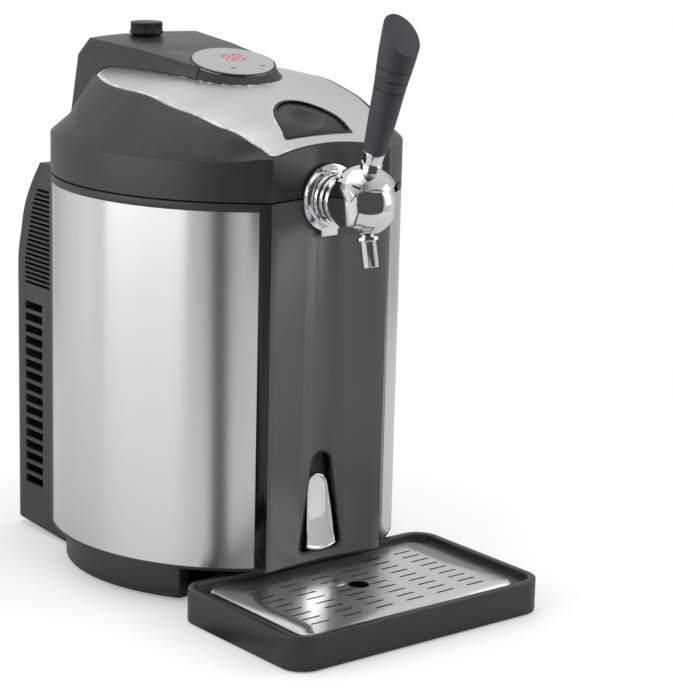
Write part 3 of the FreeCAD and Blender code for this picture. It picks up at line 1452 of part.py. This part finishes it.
# ---------------------------------------------------------------- drip tray
def rounded_plan(half, y0, y1, r):
    """Rounded rectangle, as a face at z = 0."""
    k = r * (1 - math.sqrt(0.5))
    edges = [Part.makeLine(V(-half + r, y0, 0), V(half - r, y0, 0)),
             Part.Arc(V(half - r, y0, 0), V(half - k, y0 + k, 0), V(half, y0 + r, 0)).toShape(),
             Part.makeLine(V(half, y0 + r, 0), V(half, y1 - r, 0)),
             Part.Arc(V(half, y1 - r, 0), V(half - k, y1 - k, 0), V(half - r, y1, 0)).toShape(),
             Part.makeLine(V(half - r, y1, 0), V(-half + r, y1, 0)),
             Part.Arc(V(-half + r, y1, 0), V(-half + k, y1 - k, 0), V(-half, y1 - r, 0)).toShape(),
             Part.makeLine(V(-half, y1 - r, 0), V(-half, y0 + r, 0)),
             Part.Arc(V(-half, y0 + r, 0), V(-half + k, y0 + k, 0), V(-half + r, y0, 0)).toShape()]
    return Part.Face(Part.Wire(edges))


def tray_plan(inset):
    """Plan of the tray, moved inwards by inset."""
    return rounded_plan(tray_half - inset, -tray_reach + inset, tray_back_y - inset, tray_round - inset * 0.9)


def grille_plan(out, r):
    """Plan of the grille, moved outwards by out, with corners of radius r."""
    return rounded_plan(grille_half + out, grille_front_y - out, grille_back_y + out, r)


def drip_tray():
    """Moulded tray with a flat rim, a ledge for the grille, and a tongue that slides into the base."""
    tray = lift(tray_plan(0), tray_bottom_z, tray_rim_z)
    ledge_z = grille_z - grille_t - 0.3
    tray = tray.cut(lift(tray_plan(tray_rim_w), ledge_z, FAR))
    basin = grille_plan(-tray_ledge, grille_round)
    tray = tray.cut(lift(basin, tray_bottom_z + tray_wall, FAR))
    under = lift(tray_plan(tray_wall), tray_bottom_z - 1, ledge_z - tray_wall)
    keep = grille_plan(tray_wall - tray_ledge, grille_round + tray_wall)
    tray = tray.cut(under.cut(lift(keep, 0, FAR)))
    tongue = box(-tongue_half, tongue_half, grille_back_y, tongue_y, foot_h + 3.8, tongue_z)
    inner = tongue_half - plastic_t
    hollow = box(-inner, inner, grille_back_y + plastic_t, tongue_y - plastic_t, 0, tongue_z - plastic_t)
    tongue = tongue.cut(hollow)
    return joined([tray, tongue])


def drip_grille():
    """Steel grille: a flat plate with rows of slots and a round drain hole."""
    plate = lift(grille_plan(0, grille_round), grille_z - grille_t, grille_z)
    cuts = [post(0, drain_y, 0, 50, drain_r)]
    mid_y = (grille_front_y + grille_back_y) / 2
    for j in range(slot_rows):
        y = mid_y + (j - (slot_rows - 1) / 2) * slot_pitch_y
        for i in range(slot_cols):
            x = (i - (slot_cols - 1) / 2) * slot_pitch_x
            half = slot_len / 2
            slot = box(x - half, x + half, y - slot_w / 2, y + slot_w / 2, 0, 50)
            cuts.append(slot.cut(post(0, drain_y, 0, 50, drain_r + 2.5)))
    return plate.cut(Part.makeCompound(cuts))


# ---------------------------------------------------------------- write every sub-part
def main():
    os.makedirs("parts", exist_ok=True)
    for make in (base_plinth, base_floor, base_cover, base_screws, rubber_feet, body_shell, front_panel,
                 opener_liner, bottle_opener, chamber_liner, chamber_deck, keg_pad, insulation_foam,
                 cold_block, peltier_cell, heat_sink, fan_frame, fan_rotor, fan_screws, rear_housing,
                 mains_inlet, switch_frame, power_rocker, power_board, hinge_pins, lid_shell,
                 lid_top_plate, lid_console, lid_liner, lid_insulation, lid_seal, display_plate,
                 display_lens, display_board, latch_bezel, latch_button, latch_hook, hook_pivot,
                 pressure_knob, regulator_body, tap_flange, tap_body, pivot_pin, lever_stem, lever_hood,
                 handle_ferrule, handle_grip, tap_spout, shank_nut, valve_rod, drip_tray, drip_grille):
        save(make.__name__, make())
    save("side_panel_right", side_panel())
    save("side_panel_left", mirror_x(side_panel()))


main()
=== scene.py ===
import math

import bpy
from mathutils import Matrix, Vector


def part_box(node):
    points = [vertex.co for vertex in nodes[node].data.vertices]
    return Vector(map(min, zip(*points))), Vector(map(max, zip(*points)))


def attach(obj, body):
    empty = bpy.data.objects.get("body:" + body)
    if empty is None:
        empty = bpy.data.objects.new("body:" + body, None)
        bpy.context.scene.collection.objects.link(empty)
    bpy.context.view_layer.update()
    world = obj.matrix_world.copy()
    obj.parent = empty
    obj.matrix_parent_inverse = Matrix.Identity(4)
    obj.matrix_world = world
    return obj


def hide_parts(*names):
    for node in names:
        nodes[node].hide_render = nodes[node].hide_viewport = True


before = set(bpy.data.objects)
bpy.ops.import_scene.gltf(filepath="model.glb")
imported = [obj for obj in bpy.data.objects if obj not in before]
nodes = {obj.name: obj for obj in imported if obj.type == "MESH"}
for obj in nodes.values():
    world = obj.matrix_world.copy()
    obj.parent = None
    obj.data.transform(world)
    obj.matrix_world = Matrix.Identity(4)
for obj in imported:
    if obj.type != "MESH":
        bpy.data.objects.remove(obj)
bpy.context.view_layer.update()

scene = bpy.context.scene
scene.view_settings.view_transform = "Standard"
bpy.ops.object.select_all(action="DESELECT")


# Studio: a round sheet of matt white paper that fades into a white background, a broad soft lamp
# on the left, a narrower one on the right and a weak one overhead. A dark gap in the walls gives the
# metal dark reflections. A dark strip painted on the paper and a small glowing grey card before the
# tap, both hidden from the camera, are painted reflections that add to them.
def linear(code):
    """Linear RGBA of an sRGB hex code."""
    parts = [int(code[i:i + 2], 16) / 255 for i in (1, 3, 5)]
    return [c / 12.92 if c <= 0.04045 else ((c + 0.055) / 1.055) ** 2.4 for c in parts] + [1.0]


def add(tree, kind, values=(), links=(), **settings):
    """One node with its settings, its sockets' values and the links into it."""
    made = tree.nodes.new(kind)
    for name, value in settings.items():
        setattr(made, name, value)
    for socket, value in dict(values).items():
        made.inputs[socket].default_value = value
    for socket, (source, output) in dict(links).items():
        tree.links.new(source.outputs[output], made.inputs[socket])
    return made


def blank(name):
    """A new material without nodes, and its node tree."""
    material = bpy.data.materials.new(name)
    material.use_nodes = True
    material.node_tree.nodes.clear()
    return material, material.node_tree


white = (1, 1, 1, 1)
paper_radius = 0.95
fade_from, fade_to = 0.3, 0.85                    # the paper turns into background between these
paper_glow = 0.3
strip_bearing = math.radians(-138.0)              # of the dark strip, seen only in reflections
strip_core, strip_edge = math.radians(2.0), math.radians(7.0)
strip_grey, paper_grey = 0.12, 0.8

floor_paper, tree = blank("seamless paper, matt white")
path = add(tree, "ShaderNodeLightPath")
place = add(tree, "ShaderNodeTexCoord")
reach = add(tree, "ShaderNodeVectorMath", links={0: (place, "Object")}, operation="LENGTH")
fade = add(tree, "ShaderNodeMapRange", {"From Min": fade_from, "From Max": fade_to}, {"Value": (reach, "Value")},
           interpolation_type="SMOOTHSTEP")
split = add(tree, "ShaderNodeSeparateXYZ", links={0: (place, "Object")})
bearing = add(tree, "ShaderNodeMath", links={0: (split, "Y"), 1: (split, "X")}, operation="ARCTAN2")
aside = add(tree, "ShaderNodeMath", {1: strip_bearing}, {0: (bearing, 0)}, operation="SUBTRACT")
aside = add(tree, "ShaderNodeMath", links={0: (aside, 0)}, operation="ABSOLUTE")
# Painted reflection: a dark strip on the paper along strip_bearing. Every ray except the camera's sees it, so the
# metal mirrors it as a dark band.
grey = add(tree, "ShaderNodeMapRange",
           {"From Min": strip_core, "From Max": strip_edge, "To Min": strip_grey, "To Max": paper_grey},
           {"Value": (aside, 0)}, interpolation_type="SMOOTHSTEP")
mirrored = add(tree, "ShaderNodeBsdfDiffuse", links={"Color": (grey, 0)})
lit = add(tree, "ShaderNodeBsdfDiffuse", {"Color": linear("#f0f0f0")})
glow = add(tree, "ShaderNodeEmission", {"Color": white, "Strength": paper_glow})
both = add(tree, "ShaderNodeAddShader", links={0: (lit, 0), 1: (glow, 0)})
beyond = add(tree, "ShaderNodeEmission", {"Color": white, "Strength": 1.0})
faded = add(tree, "ShaderNodeMixShader", links={"Fac": (fade, 0), 1: (both, 0), 2: (beyond, 0)})
seen = add(tree, "ShaderNodeMixShader", links={"Fac": (path, "Is Camera Ray"), 1: (mirrored, 0), 2: (faded, 0)})
add(tree, "ShaderNodeOutputMaterial", links={"Surface": (seen, 0)})
bpy.ops.mesh.primitive_circle_add(vertices=96, radius=paper_radius, fill_type="NGON", location=(0, 0, 0))
floor = bpy.context.object
floor.name = "studio_floor"
floor.data.materials.append(floor_paper)

world = bpy.data.worlds.new("studio")
scene.world = world
world.use_nodes = True
tree = world.node_tree
tree.nodes.clear()
path = add(tree, "ShaderNodeLightPath")
place = add(tree, "ShaderNodeTexCoord")
split = add(tree, "ShaderNodeSeparateXYZ", links={0: (place, "Generated")})
turn = add(tree, "ShaderNodeMath", links={0: (split, "Y"), 1: (split, "X")}, operation="ARCTAN2")
share = add(tree, "ShaderNodeMapRange", {"From Min": -math.pi, "From Max": math.pi}, {"Value": (turn, 0)})


def surround(stops):
    """Brightness by direction, in degrees anticlockwise from the right-hand side, seen from above."""
    made = add(tree, "ShaderNodeValToRGB", links={"Fac": (share, 0)})
    ramp = made.color_ramp
    ramp.elements.remove(ramp.elements[1])
    for number, (angle, level) in enumerate(stops):
        at = (angle + 180) / 360
        stop = ramp.elements[0] if number == 0 else ramp.elements.new(at)
        stop.position = at
        stop.color = (level, level, level, 1)
    return made


walls = surround([(-180, 0.52), (-160, 0.58), (-150, 0.55), (-144, 0.35), (-141, 0.04), (-136.5, 0.04),
                  (-133, 0.35), (-126, 0.55), (-112, 0.7), (-90, 0.6), (-80, 0.5), (-66, 0.45), (-50, 0.55),
                  (-10, 0.75), (20, 0.45), (45, 0.55), (60, 0.85), (83, 0.5), (107, 0.72), (133, 0.92),
                  (150, 0.7), (180, 0.52)])
ceiling = surround([(-180, 0.7), (-155, 0.5), (-135, 0.2), (-115, 0.22), (-90, 0.5), (-50, 0.62), (60, 0.8),
                    (150, 0.8), (180, 0.7)])
walls_up_to, ceiling_from = 0.12, 0.6             # sines of the elevation
climb = add(tree, "ShaderNodeMapRange", {"From Min": walls_up_to, "From Max": ceiling_from},
            {"Value": (split, "Z")}, interpolation_type="SMOOTHSTEP")
room = add(tree, "ShaderNodeMix", links={"Factor": (climb, 0)}, data_type="RGBA")
tree.links.new(walls.outputs["Color"], room.inputs[6])
tree.links.new(ceiling.outputs["Color"], room.inputs[7])
around = add(tree, "ShaderNodeBackground", {"Strength": 1.0}, {"Color": (room, 2)})
plain = add(tree, "ShaderNodeBackground", {"Color": white, "Strength": 1.0})
both = add(tree, "ShaderNodeMixShader", links={"Fac": (path, "Is Camera Ray"), 1: (around, 0), 2: (plain, 0)})
add(tree, "ShaderNodeOutputWorld", links={"Surface": (both, 0)})

lamp_aim = Vector((0, 0, 0.25))
for name, spot, width, height, power in (("lamp_left", (-1.55, 0.1, 0.62), 1.6, 1.2, 8.5),
                                         ("lamp_top", (-0.1, 0.3, 2.1), 1.8, 1.8, 6.0),
                                         ("lamp_right", (1.25, -0.95, 0.75), 0.7, 1.2, 7.0)):
    bpy.ops.object.light_add(type="AREA", location=spot)
    lamp = bpy.context.object
    lamp.name = name
    lamp.data.shape = "RECTANGLE"
    lamp.data.size = width
    lamp.data.size_y = height
    lamp.data.energy = power
    lamp.visible_camera = False
    lamp.rotation_euler = (Vector(spot) - lamp_aim).to_track_quat("Z", "Y").to_euler()

# Painted reflection: a small card before the tap that glows dark grey and is hidden from the camera, from diffuse
# light and from shadows, so that only the chrome shows it, as a dark reflection.
tap_middle = Vector((0, -0.132, 0.335))
card_spot = tap_middle + Vector((-0.032, -0.12, 0.015))
card_width, card_height = 0.25, 0.185
reflection_grey, tree = blank("dark grey, painted reflection")
skin = add(tree, "ShaderNodeEmission", {"Color": linear("#505050"), "Strength": 1.0})
add(tree, "ShaderNodeOutputMaterial", links={"Surface": (skin, 0)})
bpy.ops.mesh.primitive_plane_add(size=1, location=card_spot,
                                 rotation=(tap_middle - card_spot).to_track_quat("Z", "Y").to_euler())
card = bpy.context.object
card.name = "studio_card"
card.scale = (card_width, card_height, 1)
card.data.materials.append(reflection_grey)
for seen_by in ("visible_camera", "visible_diffuse", "visible_transmission", "visible_shadow"):
    setattr(card, seen_by, False)

azimuth, elevation, roll = (math.radians(a) for a in (-38.902, 13.894, 1.391))
camera_spot = (-1.18381, -1.57118, 0.67468)
back = Vector((math.sin(azimuth) * math.cos(elevation), -math.cos(azimuth) * math.cos(elevation),
               math.sin(elevation)))
right = (-back).cross(Vector((0, 0, 1))).normalized()
up = right.cross(-back)
right, up = right * math.cos(roll) + up * math.sin(roll), up * math.cos(roll) - right * math.sin(roll)
bpy.ops.object.camera_add()
camera = bpy.context.object
camera.name = "camera"
camera.data.lens = 126.81
camera.data.sensor_width = 36.0
camera.data.clip_end = 20.0
camera.matrix_world = Matrix.Translation(camera_spot) @ Matrix((right, up, back)).transposed().to_4x4()
scene.camera = camera


# Base, bottom cover and feet: the plinth is moulded ABS with a fine spark-eroded grain, which
# turns its sheen satin. The feet are soft black rubber and the screws are zinc-plated steel.
def dress(name, material):
    """A CAD node keeps its shape and takes a material."""
    body = nodes[name]
    body.data.materials.clear()
    body.data.materials.append(material)


def unmark(piece):
    """Drop the marks that a copy takes over from its original."""
    for key in list(piece.keys()):
        del piece[key]


same_point = 0.00002                              # corners of the CAD mesh closer than this are one
flat_pair, flat_patch = math.radians(2), math.radians(0.5)


def eased(name, material, radius, body, corners=30.0, segments=2):
    """A copy of a CAD node with its edges rounded by radius, as a mould or a press leaves them."""
    piece = nodes[name].copy()
    piece.data = nodes[name].data.copy()
    unmark(piece)
    piece.name = name + "_eased"
    piece.parent = None
    scene.collection.objects.link(piece)
    bpy.ops.object.select_all(action="DESELECT")
    bpy.context.view_layer.objects.active = piece
    piece.select_set(True)
    bpy.ops.object.mode_set(mode="EDIT")
    bpy.ops.mesh.select_all(action="SELECT")
    bpy.ops.mesh.remove_doubles(threshold=same_point)
    if radius:
        bpy.ops.mesh.tris_convert_to_quads(face_threshold=flat_pair, shape_threshold=math.radians(180))
        bpy.ops.mesh.dissolve_limited(angle_limit=flat_patch)
    bpy.ops.object.mode_set(mode="OBJECT")
    if radius:
        bevel = piece.modifiers.new("rounded", "BEVEL")
        bevel.width = radius
        bevel.segments = segments
        bevel.limit_method = "ANGLE"
        bevel.angle_limit = math.radians(corners)
        bpy.ops.object.modifier_apply(modifier=bevel.name)
    bpy.ops.object.shade_smooth_by_angle(angle=math.radians(corners))
    piece.data.materials.clear()
    piece.data.materials.append(material)
    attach(piece, body)
    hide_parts(name)
    piece.select_set(False)
    return piece


def grained(name, colour, roughness, grain, depth):
    """Moulded or painted stuff with a grain of that size in metres. The grain is drawn about ten
    times coarser than a real one, so that it still shows; its gloss varies a little with it."""
    material, tree = blank(name)
    place = add(tree, "ShaderNodeTexCoord")
    spots = add(tree, "ShaderNodeTexNoise", {"Scale": 1 / grain, "Detail": 2.0}, {"Vector": (place, "Object")})
    rough = add(tree, "ShaderNodeMapRange", {"To Min": roughness - 0.05, "To Max": roughness + 0.07},
                {"Value": (spots, 0)})
    bump = add(tree, "ShaderNodeBump", {"Strength": depth, "Distance": 0.0002}, {"Height": (spots, 0)})
    skin = add(tree, "ShaderNodeBsdfPrincipled", {"Base Color": linear(colour), "IOR": 1.52},
               {"Roughness": (rough, 0), "Normal": (bump, 0)})
    add(tree, "ShaderNodeOutputMaterial", links={"Surface": (skin, 0)})
    return material


def metal(name, colour, roughness):
    """Bare or plated metal with an even finish."""
    material, tree = blank(name)
    skin = add(tree, "ShaderNodeBsdfPrincipled",
               {"Base Color": linear(colour), "Metallic": 1.0, "Roughness": roughness})
    add(tree, "ShaderNodeOutputMaterial", links={"Surface": (skin, 0)})
    return material


abs_satin = grained("ABS, moulded, satin grain", "#2a2b2c", 0.38, 0.0006, 0.2)
rubber = grained("rubber, moulded", "#1b1b1b", 0.8, 0.0008, 0.3)
eased("base_plinth", abs_satin, 0.0006, "cabinet")
eased("base_floor", abs_satin, 0.0004, "cabinet")
dress("base_cover", abs_satin)
dress("rubber_feet", rubber)
steel_plain = metal("steel, zinc plated", "#b9bab8", 0.32)
for name in ("base_screws", "fan_screws", "hinge_pins", "hook_pivot", "pivot_pin", "lever_stem", "latch_hook",
             "valve_rod"):
    dress(name, steel_plain)


# Steel panels: stainless sheet, brushed lengthwise before it is rolled round the body. The fine
# lines run round the machine and draw each reflection out into an upright band.
def brushed(name, colour, roughness, stretch, across, spread):
    """Brushed metal. The pattern's lines per metre along x, y and z are in stretch: 2500 makes them
    0.4 mm wide, coarser than real ones, so that they show. Reflections spread along across."""
    material, tree = blank(name)
    place = add(tree, "ShaderNodeTexCoord")
    drawn = add(tree, "ShaderNodeMapping", {"Scale": stretch}, {"Vector": (place, "Object")})
    lines = add(tree, "ShaderNodeTexNoise", {"Scale": 1.0, "Detail": 3.0, "Roughness": 0.6}, {"Vector": (drawn, 0)})
    rough = add(tree, "ShaderNodeMapRange", {"To Min": roughness - 0.06, "To Max": roughness + 0.06},
                {"Value": (lines, 0)})
    bump = add(tree, "ShaderNodeBump", {"Strength": 0.08, "Distance": 0.0001}, {"Height": (lines, 0)})
    comb = add(tree, "ShaderNodeCombineXYZ", dict(zip("XYZ", across)))
    combed = add(tree, "ShaderNodeVectorTransform", links={0: (comb, 0)}, vector_type="VECTOR",
                 convert_from="OBJECT", convert_to="WORLD")
    skin = add(tree, "ShaderNodeBsdfPrincipled",
               {"Base Color": linear(colour), "Metallic": 1.0, "Anisotropic": spread},
               {"Roughness": (rough, 0), "Normal": (bump, 0), "Tangent": (combed, 0)})
    add(tree, "ShaderNodeOutputMaterial", links={"Surface": (skin, 0)})
    return material


steel_round = brushed("stainless steel, brushed round the body", "#dcdcda", 0.24, (12.0, 12.0, 2500.0),
                      (0, 0, 1), 0.85)
for name in ("side_panel_left", "side_panel_right"):
    dress(name, steel_round)


# Body wall: the same satin ABS. Only its collar and its two corner posts show, and the posts'
# faces are polished black, between the steel and the front panel.
def paint(piece, material, chosen):
    """Give the faces that chosen picks, by centre and normal, a material of their own."""
    piece.data.materials.append(material)
    for face in piece.data.polygons:
        if chosen(face.center, face.normal):
            face.material_index = len(piece.data.materials) - 1


polished_black_and_shade = grained("ABS, moulded, polished black", "#080808", 0.12, 0.002, 0.02)
post_x = (0.0575, 0.0657)
post_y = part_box("front_panel")[0][1] + 0.012
wall = eased("body_shell", abs_satin, 0.0004, "cabinet")
paint(wall, polished_black_and_shade, lambda centre, normal: post_x[0] < abs(centre.x) < post_x[1] and centre.y < post_y)

# Front panel: ABS from a polished mould, so it is glossier than the rest and shows long soft
# reflections. It is hollow across its width.
abs_gloss = grained("ABS, moulded, semi-gloss", "#525354", 0.34, 0.002, 0.03)
eased("front_panel", abs_gloss, 0.0005, "cabinet")

# Rear housing: one deep moulding in satin ABS over the cooling unit, with two groups of slots in
# each side that let the fan's air out.
eased("rear_housing", abs_satin, 0.0004, "cabinet", segments=1)

# Opener: a black moulded cup in the front panel, and in it the zinc casting that lifts crown caps,
# polished and chromium plated, so it mirrors the tray before it.
abs_black = grained("ABS, moulded, black", "#0c0c0c", 0.35, 0.0006, 0.2)
eased("opener_liner", abs_black, 0.0004, "cabinet")
chrome = metal("chromium plate, polished", "#e4e5e6", 0.06)
eased("bottle_opener", chrome, 0.0005, "cabinet", segments=3)

# Keg chamber: a white polypropylene tub, moulded with a fine grain, and a black foam-rubber pad
# under the keg. Cream polyurethane foam fills the space round the tub.
white_pp = grained("polypropylene, moulded, white", "#dfe0e0", 0.4, 0.0008, 0.1)
foam = grained("polyurethane foam", "#e2dcc8", 0.9, 0.002, 0.6)
for name in ("chamber_liner", "chamber_deck", "lid_liner"):
    dress(name, white_pp)
for name in ("insulation_foam", "lid_insulation"):
    dress(name, foam)
for name in ("keg_pad", "lid_seal"):
    dress(name, rubber)

# Cooling unit: a milled block and an extruded heat sink of aluminium, dull grey, with a white
# ceramic cell between them, and a black moulded fan. The boards are glass fibre, lacquered green.
aluminium = metal("aluminium, extruded", "#c4c6c8", 0.38)
for name in ("cold_block", "heat_sink"):
    dress(name, aluminium)
dress("peltier_cell", white_pp)
for name in ("fan_frame", "fan_rotor", "mains_inlet", "switch_frame", "power_rocker"):
    dress(name, abs_black)
board = grained("glass-fibre board, solder mask", "#1d4a2c", 0.35, 0.001, 0.1)
for name in ("power_board", "display_board"):
    dress(name, board)

# Lid: a satin ABS shell with a brushed steel plate let into its top. The plate's cut edges are painted
# black and a thin black tube runs along them: painted shade for the gap round the plate, which outlines the plate
# in black.
eased("lid_shell", abs_satin, 0.0003, "lid", corners=25.0)
steel_flat = brushed("stainless steel, brushed across", "#dcdcda", 0.3, (14.0, 2500.0, 14.0), (0, 1, 0), 0.6)
plate = eased("lid_top_plate", steel_flat, 0.0, "lid")
steepest_top = 0.4                                # a face whose normal rises less is a cut edge
# Painted shade: the plate's cut edges take polished black, which hides their highlights and stands in for the dark
# gap round the plate.
paint(plate, polished_black_and_shade, lambda centre, normal: normal.z < steepest_top)
# A thin black tube along the plate's sharp edges, also painted shade for that gap.
shade_outline_r = 0.0006
bpy.ops.object.select_all(action="DESELECT")
bpy.context.view_layer.objects.active = plate
plate.select_set(True)
bpy.ops.object.duplicate()
seal = bpy.context.object
unmark(seal)
seal.name = "plate_shade_outline"
bpy.ops.object.mode_set(mode="EDIT")
bpy.ops.mesh.select_mode(type="EDGE")
bpy.ops.mesh.select_all(action="DESELECT")
bpy.ops.mesh.edges_select_sharp(sharpness=math.radians(45))
bpy.ops.mesh.select_all(action="INVERT")
bpy.ops.mesh.delete(type="EDGE_FACE")
bpy.ops.object.mode_set(mode="OBJECT")
bpy.ops.object.convert(target="CURVE")
seal.data.bevel_depth = shade_outline_r
seal.data.bevel_resolution = 2
bpy.ops.object.convert(target="MESH")
seal.data.materials.clear()
seal.data.materials.append(polished_black_and_shade)
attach(seal, "lid")
seal.select_set(False)
eased("lid_console", abs_satin, 0.0008, "lid", corners=25.0)

# Display: a metallised, satin silver disc with a half-transparent window of the same colour, through
# which two red seven-segment digits shine. Two dark arrows mark the touch keys below them.
silver = grained("ABS, metallised, satin", "#bfc0c0", 0.3, 0.0006, 0.05)
dress("display_plate", silver)
lens = grained("acrylic, metallised, dead front", "#bfc0c0", 0.3, 0.01, 0.0)
dress("display_lens", lens)
disc_low, disc_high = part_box("display_plate")
disc_tilt = math.radians(15.0)
disc_half_y, disc_t = 0.0283, 0.0014
disc_top = Vector((0, (disc_low[1] + disc_high[1] - disc_t * math.sin(disc_tilt)) / 2,
                   disc_high[2] - disc_half_y * math.sin(disc_tilt)))
layout_x = 0.005                                  # the digits and marks are laid out about this line
print_t = 0.0001                                  # thickness of the digits and marks


def on_disc(piece, x, y, up):
    """Lay a piece drawn flat about the origin on the disc, up above its face."""
    piece.matrix_world = (Matrix.Translation(disc_top) @ Matrix.Rotation(disc_tilt, 4, "X")
                          @ Matrix.Translation((x, y, up)) @ piece.matrix_world)
    bpy.ops.object.transform_apply(location=True, rotation=True, scale=True)


def bar(length, width, x, y, turn):
    """A thin six-sided bar with pointed ends, such as a segment of a digit, lying flat along y."""
    bpy.ops.mesh.primitive_cylinder_add(vertices=6, radius=0.5, depth=1.0, location=(0, 0, 0))
    made = bpy.context.object
    made.scale = (width, length, print_t)
    bpy.ops.object.transform_apply(location=False, rotation=False, scale=True)
    made.rotation_euler = (0, 0, turn)
    made.location = (x, y, 0)
    bpy.ops.object.transform_apply(location=True, rotation=True, scale=False)
    return made


def gathered(bars, name, material):
    """Join bars into one piece on the lid."""
    bpy.ops.object.select_all(action="DESELECT")
    for made in bars:
        made.select_set(True)
    bpy.context.view_layer.objects.active = bars[0]
    bpy.ops.object.join()
    piece = bpy.context.object
    piece.name = name
    piece.data.materials.clear()
    piece.data.materials.append(material)
    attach(piece, "lid")
    return piece


led, tree = blank("LED segments, red")
skin = add(tree, "ShaderNodeBsdfPrincipled", {"Base Color": linear("#c0484a"), "Roughness": 0.4,
                                              "Emission Color": linear("#ff3a34"), "Emission Strength": 0.35})
add(tree, "ShaderNodeOutputMaterial", links={"Surface": (skin, 0)})
digit_w, digit_h, segment_w = 0.0068, 0.0122, 0.0017
digit_pitch, digits_y = 0.0105, 0.0068
segments = []
for middle in (-digit_pitch / 2, digit_pitch / 2):
    for y in (-digit_h / 2, 0, digit_h / 2):
        segments.append(bar(digit_w - segment_w, segment_w, middle, y, math.radians(90)))
    for x in (-digit_w / 2, digit_w / 2):
        for y in (-digit_h / 4, digit_h / 4):
            segments.append(bar(digit_h / 2 - segment_w, segment_w, middle + x, y, 0))
digits = gathered(segments, "display_digits", led)
on_disc(digits, layout_x, digits_y, print_t / 2)

ink = grained("printing ink, dark grey", "#2c2d2e", 0.5, 0.0004, 0.1)
mark_l, mark_w, mark_x, mark_y = 0.0036, 0.0013, 0.01475, -0.0139
mark_step, mark_turn = mark_l * 0.36, math.radians(-55)
arrows = []
for side in (-1, 1):
    for half in (-1, 1):
        arrows.append(bar(mark_l, mark_w, side * mark_x + half * mark_step, mark_y, half * side * mark_turn))
marks = gathered(arrows, "display_marks", ink)
on_disc(marks, layout_x, 0, print_t / 2)

# Ring between the disc and the skirt of the console: black moulded plastic. Two pale grey arcs at the
# front of its lower half are painted highlights, where the ring would catch the light.
# Pale grey for the painted highlight arcs on the ring.
clear = grained("pale grey, painted highlight", "#c9cbcc", 0.2, 0.002, 0.0)
ring_x, ring_y, ring_height = 0.0371, 0.0294, 0.036
ring_drop = 0.0014
highlight_arcs = ((-199, -134), (-102, -51))           # degrees anticlockwise from the right-hand side
bpy.ops.object.select_all(action="DESELECT")
bpy.ops.mesh.primitive_torus_add(major_segments=120, minor_segments=12, major_radius=1.0, minor_radius=0.03)
ring = bpy.context.object
ring.scale = (ring_x, ring_y, ring_height)
bpy.ops.object.transform_apply(location=False, rotation=False, scale=True)
ring.name = "display_ring"
ring.data.materials.append(polished_black_and_shade)


def in_highlight_arc(centre):
    """Whether a point of the flat ring lies in one of the painted highlight arcs and in its lower half."""
    angle = math.degrees(math.atan2(centre.y / ring_y, centre.x / ring_x))
    return centre.z < 0.0001 and any(low < angle + lap < high for low, high in highlight_arcs for lap in (0, -360))


paint(ring, clear, lambda centre, normal: in_highlight_arc(centre))
bpy.ops.object.shade_smooth()
on_disc(ring, 0, 0, -ring_drop)
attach(ring, "lid")
ring.select_set(False)

# Knob: fluted, moulded in the same satin ABS as the console below it. It sets the pressure of the
# gas through the regulator, which is turned brass, as is the nut behind the tap.
eased("pressure_knob", abs_satin, 0.0, "knob")
brass = metal("brass, machined", "#c9a45c", 0.3)
for name in ("regulator_body", "shank_nut"):
    dress(name, brass)

# Latch: a half-moon button of satin ABS in a black moulded bezel, let into the front of the plate.
# The bezel's rounded rim catches a thin line of light.
eased("latch_bezel", abs_black, 0.0004, "lid")
eased("latch_button", abs_satin, 0.0006, "latch")

# Tap: brass castings, polished and chromium plated, so their look is that of the room they mirror.
# The grip is ABS with soft-touch paint, which spreads its highlights into a dull sheen.
for name, radius, body in (("tap_flange", 0.0008, "cabinet"), ("tap_body", 0.0006, "cabinet"),
                           ("tap_spout", 0.0005, "cabinet"), ("lever_hood", 0.0005, "lever"),
                           ("handle_ferrule", 0.0006, "lever")):
    eased(name, chrome, radius, body)
soft_touch = grained("soft-touch paint over ABS", "#383c3e", 0.55, 0.0004, 0.12)
eased("handle_grip", soft_touch, 0.0012, "lever", segments=4)

# Tray and grille: the tray is one moulding in satin ABS with well rounded edges. The grille is
# stainless sheet with punched slots, brushed across like the plate on the lid.
eased("drip_tray", abs_satin, 0.0012, "tray", segments=3)
eased("drip_grille", steel_flat, 0.0, "grille")
